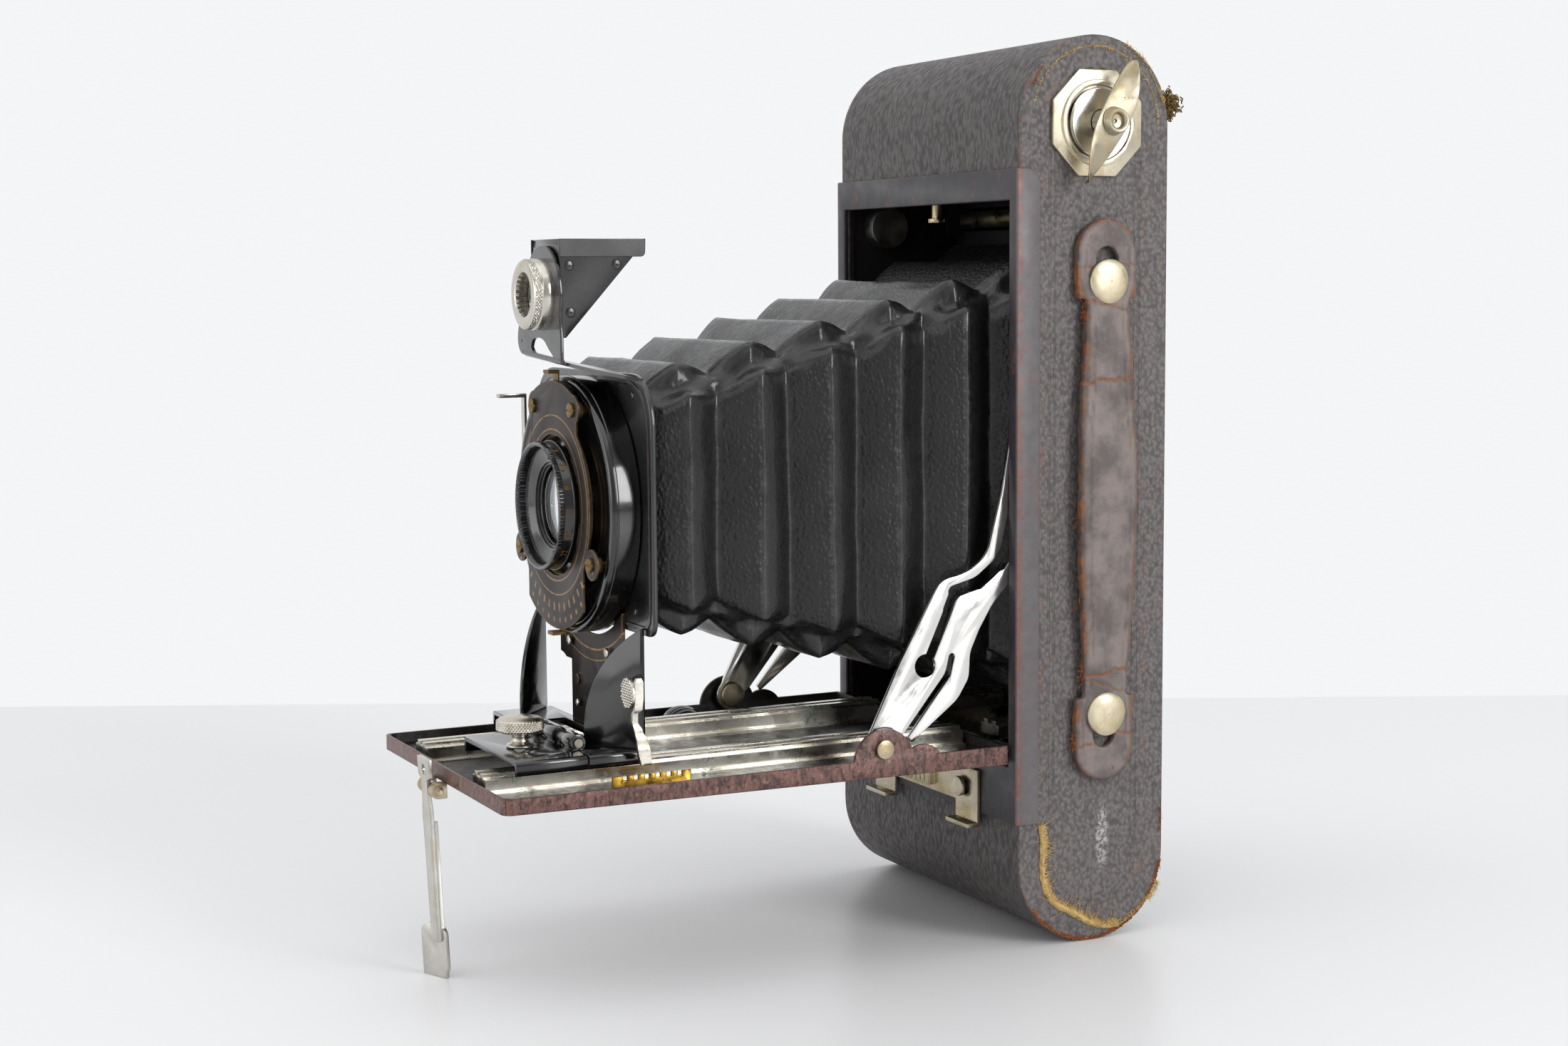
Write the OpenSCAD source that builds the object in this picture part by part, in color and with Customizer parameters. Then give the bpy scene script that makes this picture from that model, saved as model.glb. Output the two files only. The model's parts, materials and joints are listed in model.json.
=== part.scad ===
// Folding roll-film camera, standing upright with its bed open and its lens out.
// +Z is up, the lens looks along -Y, and the winding key is on the +X side.

/* [Body] */
// Width of the body over its leather sides
body_w = 86; // [85:0.5:90]
// Depth of the body from front leather to back leather
body_d = 40; // [39:0.5:44]
// Height of the body over its two round ends
body_h = 211; // [208:1:220]
// Thickness of the leather covering
skin = 0.7; // [0.5:0.1:0.9]
// Thickness of the body's sheet metal
sheet = 1; // [0.8:0.1:1.2]

/* [Opening and bed] */
// Width of the front opening
open_w = 80; // [79:0.5:80.5]
// Lowest edge of the front opening
open_low = 43; // [42:0.5:43.5]
// Highest edge of the front opening
open_high = 173.5; // [172:0.5:175]
// Width of the bed tray
bed_w = 84; // [83:0.5:84.5]
// Length of the bed tray from its hinge end to its front lip
bed_len = 123; // [120:1:126]
// Height of the bed's underside above the table
bed_z = 43.4; // [43:0.1:44]

/* [Lens and shutter] */
// Height of the lens axis above the table
lens_z = 105.5; // [104:0.5:107]
// Distance of the standard plate's rear face in front of the body
standard_out = 86.8; // [86:0.2:88]
// Radius of the shutter drum
drum_r = 29.2; // [28:0.2:29.4]
// Depth of the shutter drum
drum_depth = 7; // [6:0.5:8]
// Outer radius of the lens ring, which takes a push-on filter
ring_r = 14.8; // [14:0.1:15]

/* [Winding and spools] */
// Radius of a spool's end flange
flange_r = 12.7; // [12:0.1:13]
// Radius of a spool's core
core_r = 5.5; // [5:0.1:6]
// Radius of the pins and shafts that the spools turn on
spindle_r = 2; // [1.8:0.1:2.1]
// Distance across the corners of the octagonal key plate
key_plate_d = 26.1; // [24:0.1:28]

/* [Hidden] */
$fn = 64;

// General clearances and small offsets
fit = 0.05;
gap = 0.3;
eps = 0.01;

// Heights, half widths and the two spool axes
half_w = body_w / 2;
end_r = body_d / 2;
spool_top_z = body_h - end_r;
spool_low_z = end_r;
metal_r = end_r - skin;
side_out = half_w - skin;
side_in = side_out - sheet;
front_in = skin + sheet;

// Front frame
frame_t = 1.2;
frame_flange = 0.6;
frame_low = 29.5;
frame_high = 180.6;
flange_back = 5;

// Winding key
key_wing_x = 8.4;
key_reach = 14.2;
key_tilt = 24;

// Bed
bed_back = -2.5;
bed_front = bed_back - bed_len;
bed_floor = bed_z + skin;
bed_sheet = 0.8;
bed_top = bed_floor + bed_sheet;
lip_h = 5;
lip_top = bed_z + lip_h;
hinge_y = 3.2;
pivot_y = -35;
pivot_z = 50.7;
rail_top = 50.2;

// Standard, which stands on the base
base_low = rail_top + gap;
base_top = 53.8;
plate_y = -standard_out;
plate_t = 1.2;
plate_front = plate_y - plate_t;
plate_half = 34.5;
plate_low = 79;
plate_high = 135.5;
drum_front = plate_front - drum_depth;
face_y = drum_front - 1.6;
face_t = 0.6;
ring_front = drum_front - 6.3;

// Stand leg
leg_pivot_y = bed_front - 2;
leg_pivot_z = 43.5;
leg_offset = 1.2;
leg_lean = 2.6;
leg_t = 1;
leg_top = 50.5;

// Finder
finder_z = 153;
finder_plate_y = -98.4;
finder_half = 9;

// The origin is under the middle of the bounding box
pin_head_x = -half_w - 3;
key_end_x = half_w + 11;
shift_x = -(key_end_x + pin_head_x) / 2;
back_proud = 2.8;
leg_front = leg_pivot_y - leg_offset - leg_t / 2 - (leg_top - leg_pivot_z) * sin(leg_lean);
shift_y = -(body_d + back_proud + leg_front) / 2;

// ---- helpers ----
module put() { translate([shift_x, shift_y, 0]) children(); }

// Extrudes a Y-Z outline from x0 to x1
module along_x(x0, x1) {
    translate([x0, 0, 0]) rotate([90, 0, 90]) linear_extrude(x1 - x0) children();
}

// Extrudes an X-Z outline from y0 to y1
module along_y(y0, y1) {
    translate([0, y1, 0]) rotate([90, 0, 0]) linear_extrude(y1 - y0) children();
}

module rod_x(r, x0, x1, y = 0, z = 0) {
    translate([x0, y, z]) rotate([0, 90, 0]) cylinder(r = r, h = x1 - x0);
}

module rod_y(r, y0, y1, x = 0, z = 0) {
    translate([x, y1, z]) rotate([90, 0, 0]) cylinder(r = r, h = y1 - y0);
}

module rod_z(r, z0, z1, x = 0, y = 0) {
    translate([x, y, z0]) cylinder(r = r, h = z1 - z0);
}

// A box between two corners
module block(a, b) { translate(a) cube([b[0] - a[0], b[1] - a[1], b[2] - a[2]]); }

// Repeats a shape on the left and the right side
module both_sides() { children(); mirror([1, 0, 0]) children(); }

// The body's side outline with round ends, in Y-Z
module stadium(r) {
    translate([end_r - r, spool_low_z]) square([2 * r, spool_top_z - spool_low_z]);
    translate([end_r, spool_low_z]) circle(r);
    translate([end_r, spool_top_z]) circle(r);
}

// A wall that follows the body's outline, its outside at radius r
module outline_wall(r, t) {
    difference() { stadium(r); stadium(r - t); }
}

// A round-topped disc, its flat side at z = 0
module dome(r, h) {
    top_r = (r * r + h * h) / (2 * h);
    rotate_extrude() intersection() {
        translate([0, h - top_r]) circle(top_r, $fn = 128);
        square([r, h]);
    }
}

// A slot or bar with round ends from p to q, in 2D
module bar2d(p, q, r) {
    d = q - p;
    translate(p) circle(r);
    translate(q) circle(r);
    translate(p) rotate(atan2(d[1], d[0])) translate([0, -r]) square([norm(d), 2 * r]);
}

// A rectangle with round corners, centred, in 2D
module round_rect(w, h, r) {
    square([w - 2 * r, h], center = true);
    square([w, h - 2 * r], center = true);
    for (i = [-1, 1], j = [-1, 1]) translate([i * (w / 2 - r), j * (h / 2 - r)]) circle(r);
}

// ---- body ----
module front_half() { translate([-eps, -eps]) square([end_r + eps, body_h + 2 * eps]); }
module back_half() { translate([end_r + gap / 2, -eps]) square([end_r + eps, body_h + 2 * eps]); }
module opening(w) { block([-w / 2, -2, open_low], [w / 2, 4, open_high]); }

module body_shell() {
    color([0.12, 0.12, 0.13]) put() {
        difference() {
            both_sides() along_x(side_in, side_out) stadium(metal_r);
            rod_x(3 + fit, side_in - 1, side_out + 1, end_r, spool_top_z);
            for (z = [spool_low_z, spool_top_z])
                rod_x(spindle_r + fit, -side_out - 1, -side_in + 1, end_r, z);
            rod_x(4, -side_out - 1, -side_in + 1, 10, 169);
        }
        difference() {
            along_x(-side_in + fit, side_in - fit) intersection() {
                outline_wall(metal_r, sheet);
                front_half();
            }
            opening(open_w);
        }
        rod_x(spindle_r, 31, side_in + sheet / 2, end_r, spool_low_z);
    }
}

module side_leather() {
    color([0.1, 0.1, 0.1]) put() difference() {
        both_sides() along_x(side_out, half_w) stadium(end_r);
        rod_x(3.6, side_out - 1, half_w + 1, end_r, spool_top_z);
        for (z = [54.5, 155]) rod_x(2, side_out - 1, half_w + 1, 22, z);
        for (z = [spool_low_z, spool_top_z])
            rod_x(3.4, -half_w - 1, -side_out + 1, end_r, z);
        rod_x(5, -half_w - 1, -side_out + 1, 10, 169);
    }
}

module front_leather() {
    color([0.13, 0.13, 0.13]) put() difference() {
        along_x(-side_out, side_out) intersection() {
            outline_wall(end_r, skin);
            front_half();
        }
        opening(open_w);
    }
}

module front_frame() {
    color([0.2, 0.17, 0.16]) put() {
        difference() {
            block([-half_w - frame_flange, -frame_t, frame_low],
                [half_w + frame_flange, 0, frame_high]);
            opening(open_w);
        }
        both_sides() difference() {
            block([half_w, -eps, frame_low], [half_w + frame_flange, flange_back, frame_high]);
            along_x(half_w - 1, half_w + 1) difference() {
                translate([1, frame_high - 4]) square(4 + eps);
                translate([1, frame_high - 4]) circle(4);
            }
        }
    }
}

module film_gate() {
    gate_y = 33;
    gate_half_w = 32;
    gate_half_h = 54;
    color([0.08, 0.08, 0.08]) put() {
        difference() {
            block([-side_in, gate_y, 37], [side_in, gate_y + sheet, 176]);
            block([-gate_half_w, gate_y - 1, lens_z - gate_half_h],
                [gate_half_w, gate_y + 2, lens_z + gate_half_h]);
            for (z = [40.5, 171]) block([-38.4, gate_y - 1, z - 3], [38.4, gate_y + 2, z + 3]);
        }
        for (z = [37, 175]) difference() {
            block([-side_in, front_in, z], [side_in, gate_y, z + sheet]);
            block([-5, front_in - 1, z - 1], [5, 9, z + 2]);
        }
        for (z = [40.5, 171]) both_sides() difference() {
            block([37.2, 28, z - 3.8], [38.2, 36.2, z + 4.5]);
            rod_x(1 + fit, 37, 39, 33.6, z);
        }
    }
}

// A film roller: a thin tube with a journal at each end
module roller(z) {
    color([0.75, 0.75, 0.74]) put() translate([0, 33.6, z]) {
        rod_x(2.2, -36.8, 36.8);
        rod_x(1, -38.2, 38.2);
    }
}
module roller_top() { roller(171); }
module roller_bottom() { roller(40.5); }

// A spool with a slotted core and two end flanges
module spool(z) {
    put() translate([0, end_r, z]) difference() {
        union() {
            rod_x(core_r, -34.5, 34.5);
            for (x = [-35.5, 34.5]) rod_x(flange_r, x, x + 1);
        }
        rod_x(spindle_r + fit, -36, 36);
        block([-20, -0.5, -core_r - 1], [20, 0.5, core_r + 1]);
        both_sides() block([30.4, -0.7, -3.4], [36, 0.7, 3.4]);
    }
}
module feed_spool() { color([0.55, 0.38, 0.2]) spool(spool_low_z); }
module takeup_spool() { color([0.6, 0.42, 0.22]) spool(spool_top_z); }

// A pull-out spool pin with a milled head
module spool_pin(z) {
    color([0.78, 0.77, 0.74]) put() translate([0, end_r, z]) {
        rod_x(spindle_r, -half_w - 2.4, -29.5);
        difference() {
            rod_x(4.6, pin_head_x, -half_w - gap);
            for (a = [0 : 15 : 345]) rotate([a, 0, 0]) translate([pin_head_x - 1, 4.3, -0.25])
                cube([4, 1, 0.5]);
        }
    }
}
module spool_pin_top() { spool_pin(spool_top_z); }
module spool_pin_bottom() { spool_pin(spool_low_z); }

// ---- winding key ----
module key_plate() {
    color([0.8, 0.76, 0.65]) put() translate([half_w, end_r, spool_top_z]) difference() {
        union() {
            rotate([0, 90, 0]) rotate(22.5) cylinder(d = key_plate_d, h = 1, $fn = 8);
            rod_x(9.8, 0.5, 1.7);
        }
        rod_x(8.6, 1, 3);
        rod_x(3 + fit, -1, 3);
    }
}

module key_disc() {
    color([0.9, 0.9, 0.9]) put() translate([half_w, end_r, spool_top_z]) difference() {
        rod_x(7.8, 1.4, 2.6);
        rod_x(3 + fit, 0, 4);
    }
}

// One blade of the key in its own plane: pointed at the tip and waisted at the hub
module key_blade() {
    intersection() {
        translate([-1, -6]) circle(9.4);
        translate([-1, 6]) circle(9.4);
        translate([0, -6]) square([20, 12]);
    }
    bar2d([4, 0], [key_reach - 1, 0], 1);
}

module winding_key() {
    color([0.82, 0.79, 0.7]) put() translate([half_w, end_r, spool_top_z]) {
        rod_x(3, -7.4, 6.6);
        block([-12, -0.5, -3.2], [-7, 0.5, 3.2]);
        difference() {
            rod_x(4, 6.4, key_end_x - half_w);
            rod_x(1.7, 8.4, key_end_x - half_w + 1);
        }
        for (s = [0, 180]) rotate([s - key_tilt, 0, 0]) translate([key_wing_x, 0, 0])
            rotate([0, -90, 0]) rotate([20, 0, 0]) linear_extrude(1, center = true)
                translate([1.5, 0]) key_blade();
    }
}

// ---- carrying strap ----
strap_mid = 22;
strap_low = 38.5;
strap_high = 169.3;
stud_low = 54.4;
stud_high = 155;
strap_x = half_w + gap;
strap_t = 2;

module carry_strap() {
    end_half = 8;
    waist_half = 5.6;
    belly_half = 7.8;
    color([0.2, 0.14, 0.11]) put() along_x(strap_x, strap_x + strap_t) difference() {
        union() {
            for (z = [strap_low + end_half, strap_high - end_half])
                translate([strap_mid, z]) circle(end_half);
            translate([strap_mid - end_half, strap_low + end_half])
                square([2 * end_half, stud_low + 4 - strap_low - end_half]);
            translate([strap_mid - end_half, stud_high - 4])
                square([2 * end_half, strap_high - end_half - stud_high + 4]);
            polygon([for (s = [-1, 1], t = [0 : 12])
                let (k = s > 0 ? t / 12 : 1 - t / 12,
                     z = stud_low + 4 + k * (stud_high - stud_low - 8),
                     half = waist_half + (belly_half - waist_half) * sin(180 * k))
                [strap_mid + s * half, z]]);
        }
        bar2d([strap_mid, stud_low - 5], [strap_mid, stud_low + 1], 3);
        bar2d([strap_mid, stud_high - 1], [strap_mid, stud_high + 5], 3);
    }
}

module strap_studs() {
    color([0.85, 0.8, 0.65]) put() for (z = [stud_low, stud_high]) {
        rod_x(1.8, side_out, strap_x + strap_t + 0.5, strap_mid, z);
        translate([strap_x + strap_t + gap, strap_mid, z]) rotate([0, 90, 0]) dome(5.15, 2.2);
    }
}

module tripod_bush() {
    color([0.5, 0.48, 0.42]) put() translate([0, 10, 169]) difference() {
        union() {
            rod_x(3.95, -half_w, -side_in);
            rod_x(5.2, -side_in, -side_in + 5.6);
        }
        rod_x(2.65, -half_w - 1, -side_in + 4.6);
    }
}

// ---- latches at the front ----
catch_y = 3;
module bed_catch() {
    color([0.8, 0.78, 0.7]) put() {
        rod_z(1.1, open_high - 3.4, open_high + 1.2, 0, catch_y);
        rod_z(2, open_high - 4.2, open_high - 3.2, 0, catch_y);
        block([-1.8, catch_y - 1.1, open_high + 0.7], [1.8, catch_y + 11, open_high + 1.2]);
    }
}

latch_face = -frame_t - gap;
module latch_plate() {
    slot_z = 35.1;
    color([0.6, 0.57, 0.5]) put() {
        along_y(latch_face - 0.8, latch_face) difference() {
            union() {
                translate([-22, 31.5]) square([50, 8.5]);
                for (x = [-22, 18]) translate([x, 27.4]) square([10, 5]);
            }
            for (x = [-16, 19]) bar2d([x, slot_z], [x + 3.6, slot_z], 1.7);
        }
        for (x = [-22, 18]) block([x, latch_face - 3.6, 26.4], [x + 10, latch_face, 27.4]);
        block([-6, latch_face - 2.2, 33], [8, latch_face - 0.7, 38.6]);
        for (x = [-5 : 2 : 7]) rod_z(0.7, 33, 38.6, x, latch_face - 2.2);
    }
}

module latch_studs() {
    color([0.7, 0.68, 0.62]) put() for (x = [-14.2, 20.8]) {
        rod_y(1.2, latch_face - 1.3, -frame_t, x, 35.1);
        rod_y(2.4, latch_face - 2.1, latch_face - 0.8 - gap, x, 35.1);
    }
}

// ---- back cover ----
back_in = body_d - front_in;
door_y = body_d + 0.5;
door_z = 71;
door_proud = 1.6;
stylus_y = body_d + 1.3;
stylus_z = 56.6;

module back_cover() {
    color([0.12, 0.12, 0.13]) put() {
        difference() {
            along_x(-side_in + gap, side_in - gap) intersection() {
                outline_wall(metal_r, sheet);
                back_half();
            }
            rod_y(4, body_d - 3, body_d + 1, 0, lens_z);
            block([-28, body_d - 3, 62], [28, body_d + 1, 67]);
        }
        for (x = [-30, 26])
            block([x, body_d - front_in, door_z - 2], [x + 4, body_d + door_proud, door_z + 1.4]);
        rod_x(0.8, -30, 30, door_y, door_z);
        for (x = [-14, 12]) difference() {
            block([x, body_d - skin, stylus_z - 1.6], [x + 2, body_d + back_proud, stylus_z + 1.6]);
            rod_x(1 + fit, x - 1, x + 3, stylus_y, stylus_z);
        }
    }
}

module back_leather() {
    color([0.12, 0.12, 0.12]) put() difference() {
        along_x(-side_out + gap / 2, side_out - gap / 2) intersection() {
            outline_wall(end_r, skin);
            back_half();
        }
        rod_y(5.2, body_d - 3, body_d + 1, 0, lens_z);
        block([-31, body_d - 3, 59.8], [31, body_d + 1, 73]);
        for (x = [-14, 12]) block([x, body_d - 3, stylus_z - 1.6], [x + 2, body_d + 1, stylus_z + 1.6]);
    }
}

module pressure_plate() {
    color([0.3, 0.3, 0.3]) put() {
        block([-35, 36.2, 50], [35, 36.8, 161]);
        for (z = [70, 140]) along_x(-8, 8) polygon([[36.7, z - 20], [back_in, z - 1],
            [back_in, z + 1], [36.7, z + 20], [36.7, z + 17], [back_in - 0.5, z + 0.8],
            [back_in - 0.5, z - 0.8], [36.7, z - 17]]);
    }
}

module red_window() {
    color([0.6, 0.05, 0.04]) put() {
        rod_y(3.9, body_d - 2, body_d - 0.6, 0, lens_z);
        difference() {
            rod_y(5.1, body_d - 0.7, body_d + 0.6, 0, lens_z);
            rod_y(3.4, body_d - 1, body_d + 1, 0, lens_z);
        }
    }
}

module autographic_door() {
    low = door_z - 10.8;
    face = body_d - skin + gap;
    color([0.16, 0.15, 0.15]) put() difference() {
        union() {
            block([-30, face, low], [30, body_d + 0.4, door_z - 2.3]);
            block([-25.7, face, door_z - 2.4], [25.7, body_d + 0.4, door_z]);
            rod_x(1.1, -25.7, 25.7, door_y, door_z);
            block([-6, body_d, low], [6, body_d + door_proud, low + 1.2]);
        }
        rod_x(0.8 + fit, -26, 26, door_y, door_z);
    }
}

module stylus() {
    color([0.75, 0.73, 0.7]) put() {
        rod_x(1, -20, 24, stylus_y, stylus_z);
        rod_x(1.3, 24, 27, stylus_y, stylus_z);
        rod_x(0.4, -23, -20, stylus_y, stylus_z);
    }
}

// ---- bed ----
module bed_tray() {
    half = bed_w / 2;
    color([0.42, 0.27, 0.22]) put() difference() {
        union() {
            block([-half, bed_front, bed_floor], [half, bed_back, bed_top]);
            both_sides() block([half - bed_sheet, bed_front, bed_z], [half, bed_back, lip_top]);
            for (y = [bed_front, bed_back - bed_sheet])
                block([-half, y, bed_z], [half, y + bed_sheet, lip_top]);
            both_sides() along_x(half - bed_sheet, half) {
                intersection() {
                    translate([pivot_y, pivot_z - 3]) circle(7.6);
                    translate([pivot_y - 9, bed_z]) square([18, 15]);
                }
                intersection() {
                    translate([-25, 45.5]) circle(5.4);
                    translate([-31, bed_z]) square([12, 15]);
                }
            }
            for (x = [-26, 18]) {
                block([x, bed_back - eps, bed_z + 0.3], [x + 8, hinge_y, bed_z + 1.1]);
                rod_x(2, x, x + 8, hinge_y, bed_z + 2.3);
            }
        }
        rod_x(1.2 + fit, -30, 30, hinge_y, bed_z + 2.3);
        both_sides() rod_x(1.6 + fit, 36, 44, pivot_y, pivot_z);
    }
}

module bed_leather() {
    half = bed_w / 2 - bed_sheet;
    color([0.1, 0.1, 0.1]) put() block([-half, bed_front + bed_sheet, bed_z],
        [half, bed_back - bed_sheet, bed_floor]);
}

module bed_hinge_pin() {
    color([0.6, 0.58, 0.55]) put() rod_x(1.2, -side_in, side_in, hinge_y, bed_z + 2.3);
}

// One rail: a raised half-round bead on a flat strip
module rail(y0, y1) {
    along_y(y0, y1) {
        translate([-5.5, bed_top]) square([11, 1.4]);
        translate([-4, bed_top]) square([8, rail_top - bed_top - 1]);
        translate([-2.6, bed_top]) square([1.6, rail_top - bed_top]);
        translate([1, bed_top]) square([1.6, rail_top - bed_top]);
    }
}

module bed_rails() {
    color([0.75, 0.72, 0.62]) put() for (x = [-20, 20]) translate([x, 0, 0]) {
        rail(-123.3, -3.8);
        difference() {
            rail(6, 32.6);
            block([-6, 5, bed_top - 2], [6, 40, bed_top + 1]);
        }
        block([-4, 6, 38], [4, 30.5, bed_top + 1.1]);
    }
}

module focus_scale() {
    color([0.72, 0.56, 0.22]) put() {
        difference() {
            union() {
                block([32.6, -97.4, bed_top], [33.4, -78.8, bed_top + 4]);
                block([32.6, -97.4, bed_top], [37.5, -76, bed_top + 0.7]);
            }
            for (y = [-95 : 2.6 : -82]) block([32, y, bed_top + 3], [34, y + 1.1, bed_top + 5]);
        }
        for (y = [-94, -79]) rod_z(1.3, bed_top, bed_top + 1.4, 36, y);
    }
}

// ---- struts ----
// Middle line of the strut's two arms, in Y-Z
module strut_outline() {
    difference() {
        polygon([[-38.9, 51], [-29.6, 69.6], [-19.6, 86.8], [-17.6, 88], [-14.7, 88.4], [-11.1, 89.6],
            [-8, 91.8], [-6.3, 94.2], [-2.9, 106.9], [-0.6, 119.4], [1.2, 119.4], [-0.4, 106],
            [-3.2, 94], [-5, 91.2], [-8.6, 88], [1.7, 95], [2.9, 91.5], [1.7, 88.8], [-5.5, 81.3],
            [-9, 75.7], [-11.4, 70.6], [-11.7, 64.8], [-14.8, 60], [-26.6, 51.2], [-28.4, 53.4],
            [-31.2, 51], [-33, 48.2], [-37.4, 48.2]]);
        bar2d([-22.2, 69.9], [-17.2, 80.6], 1.2);
        bar2d([-17.2, 80.9], [-15.6, 84.6], 1.3);
        bar2d([-15.6, 84.9], [-9, 86.6], 1.5);
        bar2d([-9, 86.6], [-3.4, 90.8], 1.6);
        bar2d([-3.4, 90.8], [2.4, 98.4], 1.9);
        translate([-23.2, 68.4]) circle(2.7);
        bar2d([-16.2, 70], [-17.2, 66], 0.8);
        bar2d([-17.2, 66], [-21.6, 60.8], 0.8);
        bar2d([-21.6, 60.8], [-29.4, 51.4], 0.8);
        translate([pivot_y, pivot_z]) circle(1.6 + fit);
    }
    difference() {
        translate([pivot_y, pivot_z]) circle(3.9);
        translate([pivot_y, pivot_z]) circle(1.6 + fit);
    }
}

module struts() {
    color([0.88, 0.87, 0.84]) put() both_sides() along_x(38.9, 39.9) strut_outline();
}

module strut_pins() {
    color([0.6, 0.6, 0.5]) put() both_sides() {
        rod_x(1.6, 38, bed_w / 2 + 0.5, pivot_y, pivot_z);
        rod_x(3, 37.4, 38.5, pivot_y, pivot_z);
        rod_x(2.2, bed_w / 2 + 0.05, bed_w / 2 + 0.8, pivot_y, pivot_z);
    }
}

module ribbed_button() {
    color([0.06, 0.06, 0.06]) put() translate([-34, -51, 0]) difference() {
        union() {
            rod_z(4.9, bed_top, 47.5);
            translate([0, 0, 47.4]) dome(4.9, 2.6);
        }
        for (x = [-4.4 : 1.1 : 4.4]) block([x - 0.2, -6, 48.4], [x + 0.2, 6, 52]);
    }
}

// ---- stand leg ----
module stand_leg() {
    color([0.8, 0.78, 0.72]) put() translate([0, leg_pivot_y, leg_pivot_z]) difference() {
        union() {
            rod_x(1.7, -1.7, 1.7);
            rotate([leg_lean, 0, 0]) translate([0, -leg_offset, -leg_pivot_z]) {
                along_y(-leg_t / 2, leg_t / 2) polygon([[-3.8, leg_top], [3.8, leg_top], [3.8, 46.4],
                    [1.9, 45.6], [1.9, 41.4], [2.6, 38], [2.3, 30], [2.2, 8.6], [-2.2, 8.6],
                    [-2.3, 30], [-2.6, 38], [-1.9, 41.4], [-1.9, 45.6], [-3.8, 46.4]]);
                block([1.2, 0, 9], [1.9, 1.5, 36]);
                translate([-1, 0, 0]) rotate([0, 0, 24]) along_y(-leg_t / 2, leg_t / 2) {
                    translate([0, 6.2]) round_rect(8, 12, 2.6);
                    translate([-4, 0.05]) square([7.4, 8]);
                }
            }
        }
        rod_x(0.9 + fit, -5, 5);
        rotate([leg_lean, 0, 0]) rod_y(1.2, -4, 1, 0, 48 - leg_pivot_z);
    }
}

module stand_bracket() {
    color([0.7, 0.68, 0.62]) put() {
        rod_x(0.9, -6, 6, leg_pivot_y, leg_pivot_z);
        for (x = [-5.2, 2.2]) {
            rod_x(1.7, x, x + 3, leg_pivot_y, leg_pivot_z);
            block([x, leg_pivot_y, leg_pivot_z - 1.7], [x + 3, bed_front, leg_pivot_z + 1.7]);
        }
    }
}

// ---- front standard ----
base_half = 31;
base_front = -118.6;
base_seam = -101.8;
base_back = -87.2;
base_pin_z = base_top + 1.5;

module base_plate() {
    color([0.07, 0.07, 0.07]) put() difference() {
        union() {
            block([-3, base_front, base_top - 1], [base_half, base_seam - 0.4, base_top]);
            for (x = [-3, base_half - 1])
                block([x, base_front, base_low], [x + 1, base_seam - 0.4, base_top]);
            block([-base_half, base_seam, base_top - 1], [base_half, base_back, base_top]);
            both_sides() block([base_half - 1, base_seam, base_low], [base_half, base_back, base_top]);
            for (x = [-3.2, 8, 19]) rod_x(1.9, x, x + 5.2, base_seam, base_pin_z);
        }
        rod_x(1 + fit, -4, 30, base_seam, base_pin_z);
        rod_z(1.6 + fit, 48, 56, 15, -111.8);
        block([-14, -94.5, 48], [14, -90, 56]);
    }
}

module base_hinge_pin() {
    color([0.55, 0.5, 0.42]) put() rod_x(1, -3.6, 24.8, base_seam, base_pin_z);
}

module clamp_knob() {
    teeth = 30;
    color([0.72, 0.69, 0.62]) put() translate([15, -111.8, 0]) difference() {
        union() {
            rod_z(3.2, base_low, base_top - 1.1);
            rod_z(1.6, base_low, base_top + 1);
            rod_z(3.2, base_top + 0.1, base_top + 1.1);
            rod_z(2, base_top + 1, base_top + 4);
            rod_z(5.4, base_top + 3.6, base_top + 6.6);
            rod_z(4.7, base_top + 3.2, base_top + 7.1);
        }
        for (i = [0 : teeth - 1]) rotate(i * 360 / teeth)
            translate([5.15, -0.2, base_top + 3]) cube([1, 0.4, 5]);
    }
}

// Quarter-disc side sheets that carry the plate on the base
module standard_wings() {
    wing_w = 14.5;
    wing_h = plate_low - base_top + 3;
    color([0.06, 0.06, 0.06]) put() both_sides()
        translate([30.4, plate_front - 0.5, base_top]) rotate([0, 0, 224]) {
            along_y(-0.5, 0.5) intersection() {
                square([wing_w, wing_h]);
                translate([-12.3, 3]) circle(26.8);
            }
        }
}

module standard_plate() {
    color([0.09, 0.09, 0.09]) put() difference() {
        along_y(plate_front, plate_y) {
            difference() {
                translate([0, (plate_low + plate_high) / 2])
                    round_rect(2 * plate_half, plate_high - plate_low, 3);
                translate([0, lens_z]) circle(12.5);
            }
        }
        for (x = [-25, 25], z = [plate_low + 4.5, plate_high - 4.5])
            rod_y(0.8, plate_front - 1, plate_y + 1, x, z);
    }
}

module info_plate() {
    color([0.2, 0.18, 0.14]) put() {
        along_y(plate_front - 0.8, plate_front) difference() {
            union() {
                translate([-12, base_top]) square([24, 30]);
                translate([-19, 68]) square([38, 15]);
            }
            for (s = [-1, 1]) translate([s * 19, 62]) circle(7);
            translate([0, lens_z]) circle(drum_r + 0.7);
        }
        for (x = [-7, 7]) rod_y(1.2, plate_front - 1.6, plate_front - 0.7, x, 64);
    }
}

module focus_lever() {
    y = -90.6;
    inner = base_half + 0.6;
    color([0.8, 0.78, 0.7]) put() {
        along_y(y - 3, y + 3) translate([inner, 0]) polygon([[1.2, 51.6], [1.2, 55], [0, 58.4],
            [1.5, 62], [1.5, 70.4], [2.3, 70.4], [2.3, 61.8], [0.9, 58.4], [1.9, 55.4], [1.9, 51.6]]);
        rod_y(0.7, y - 3.4, y + 3.4, inner + 1.6, 54.6);
        difference() {
            rod_y(3.6, y - 3.8, y - 2.9, inner, 66.5);
            for (i = [-3 : 1 : 3]) block([inner + i - 0.15, y - 4.4, 62], [inner + i + 0.15, y - 3.6, 71]);
        }
    }
}

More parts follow.
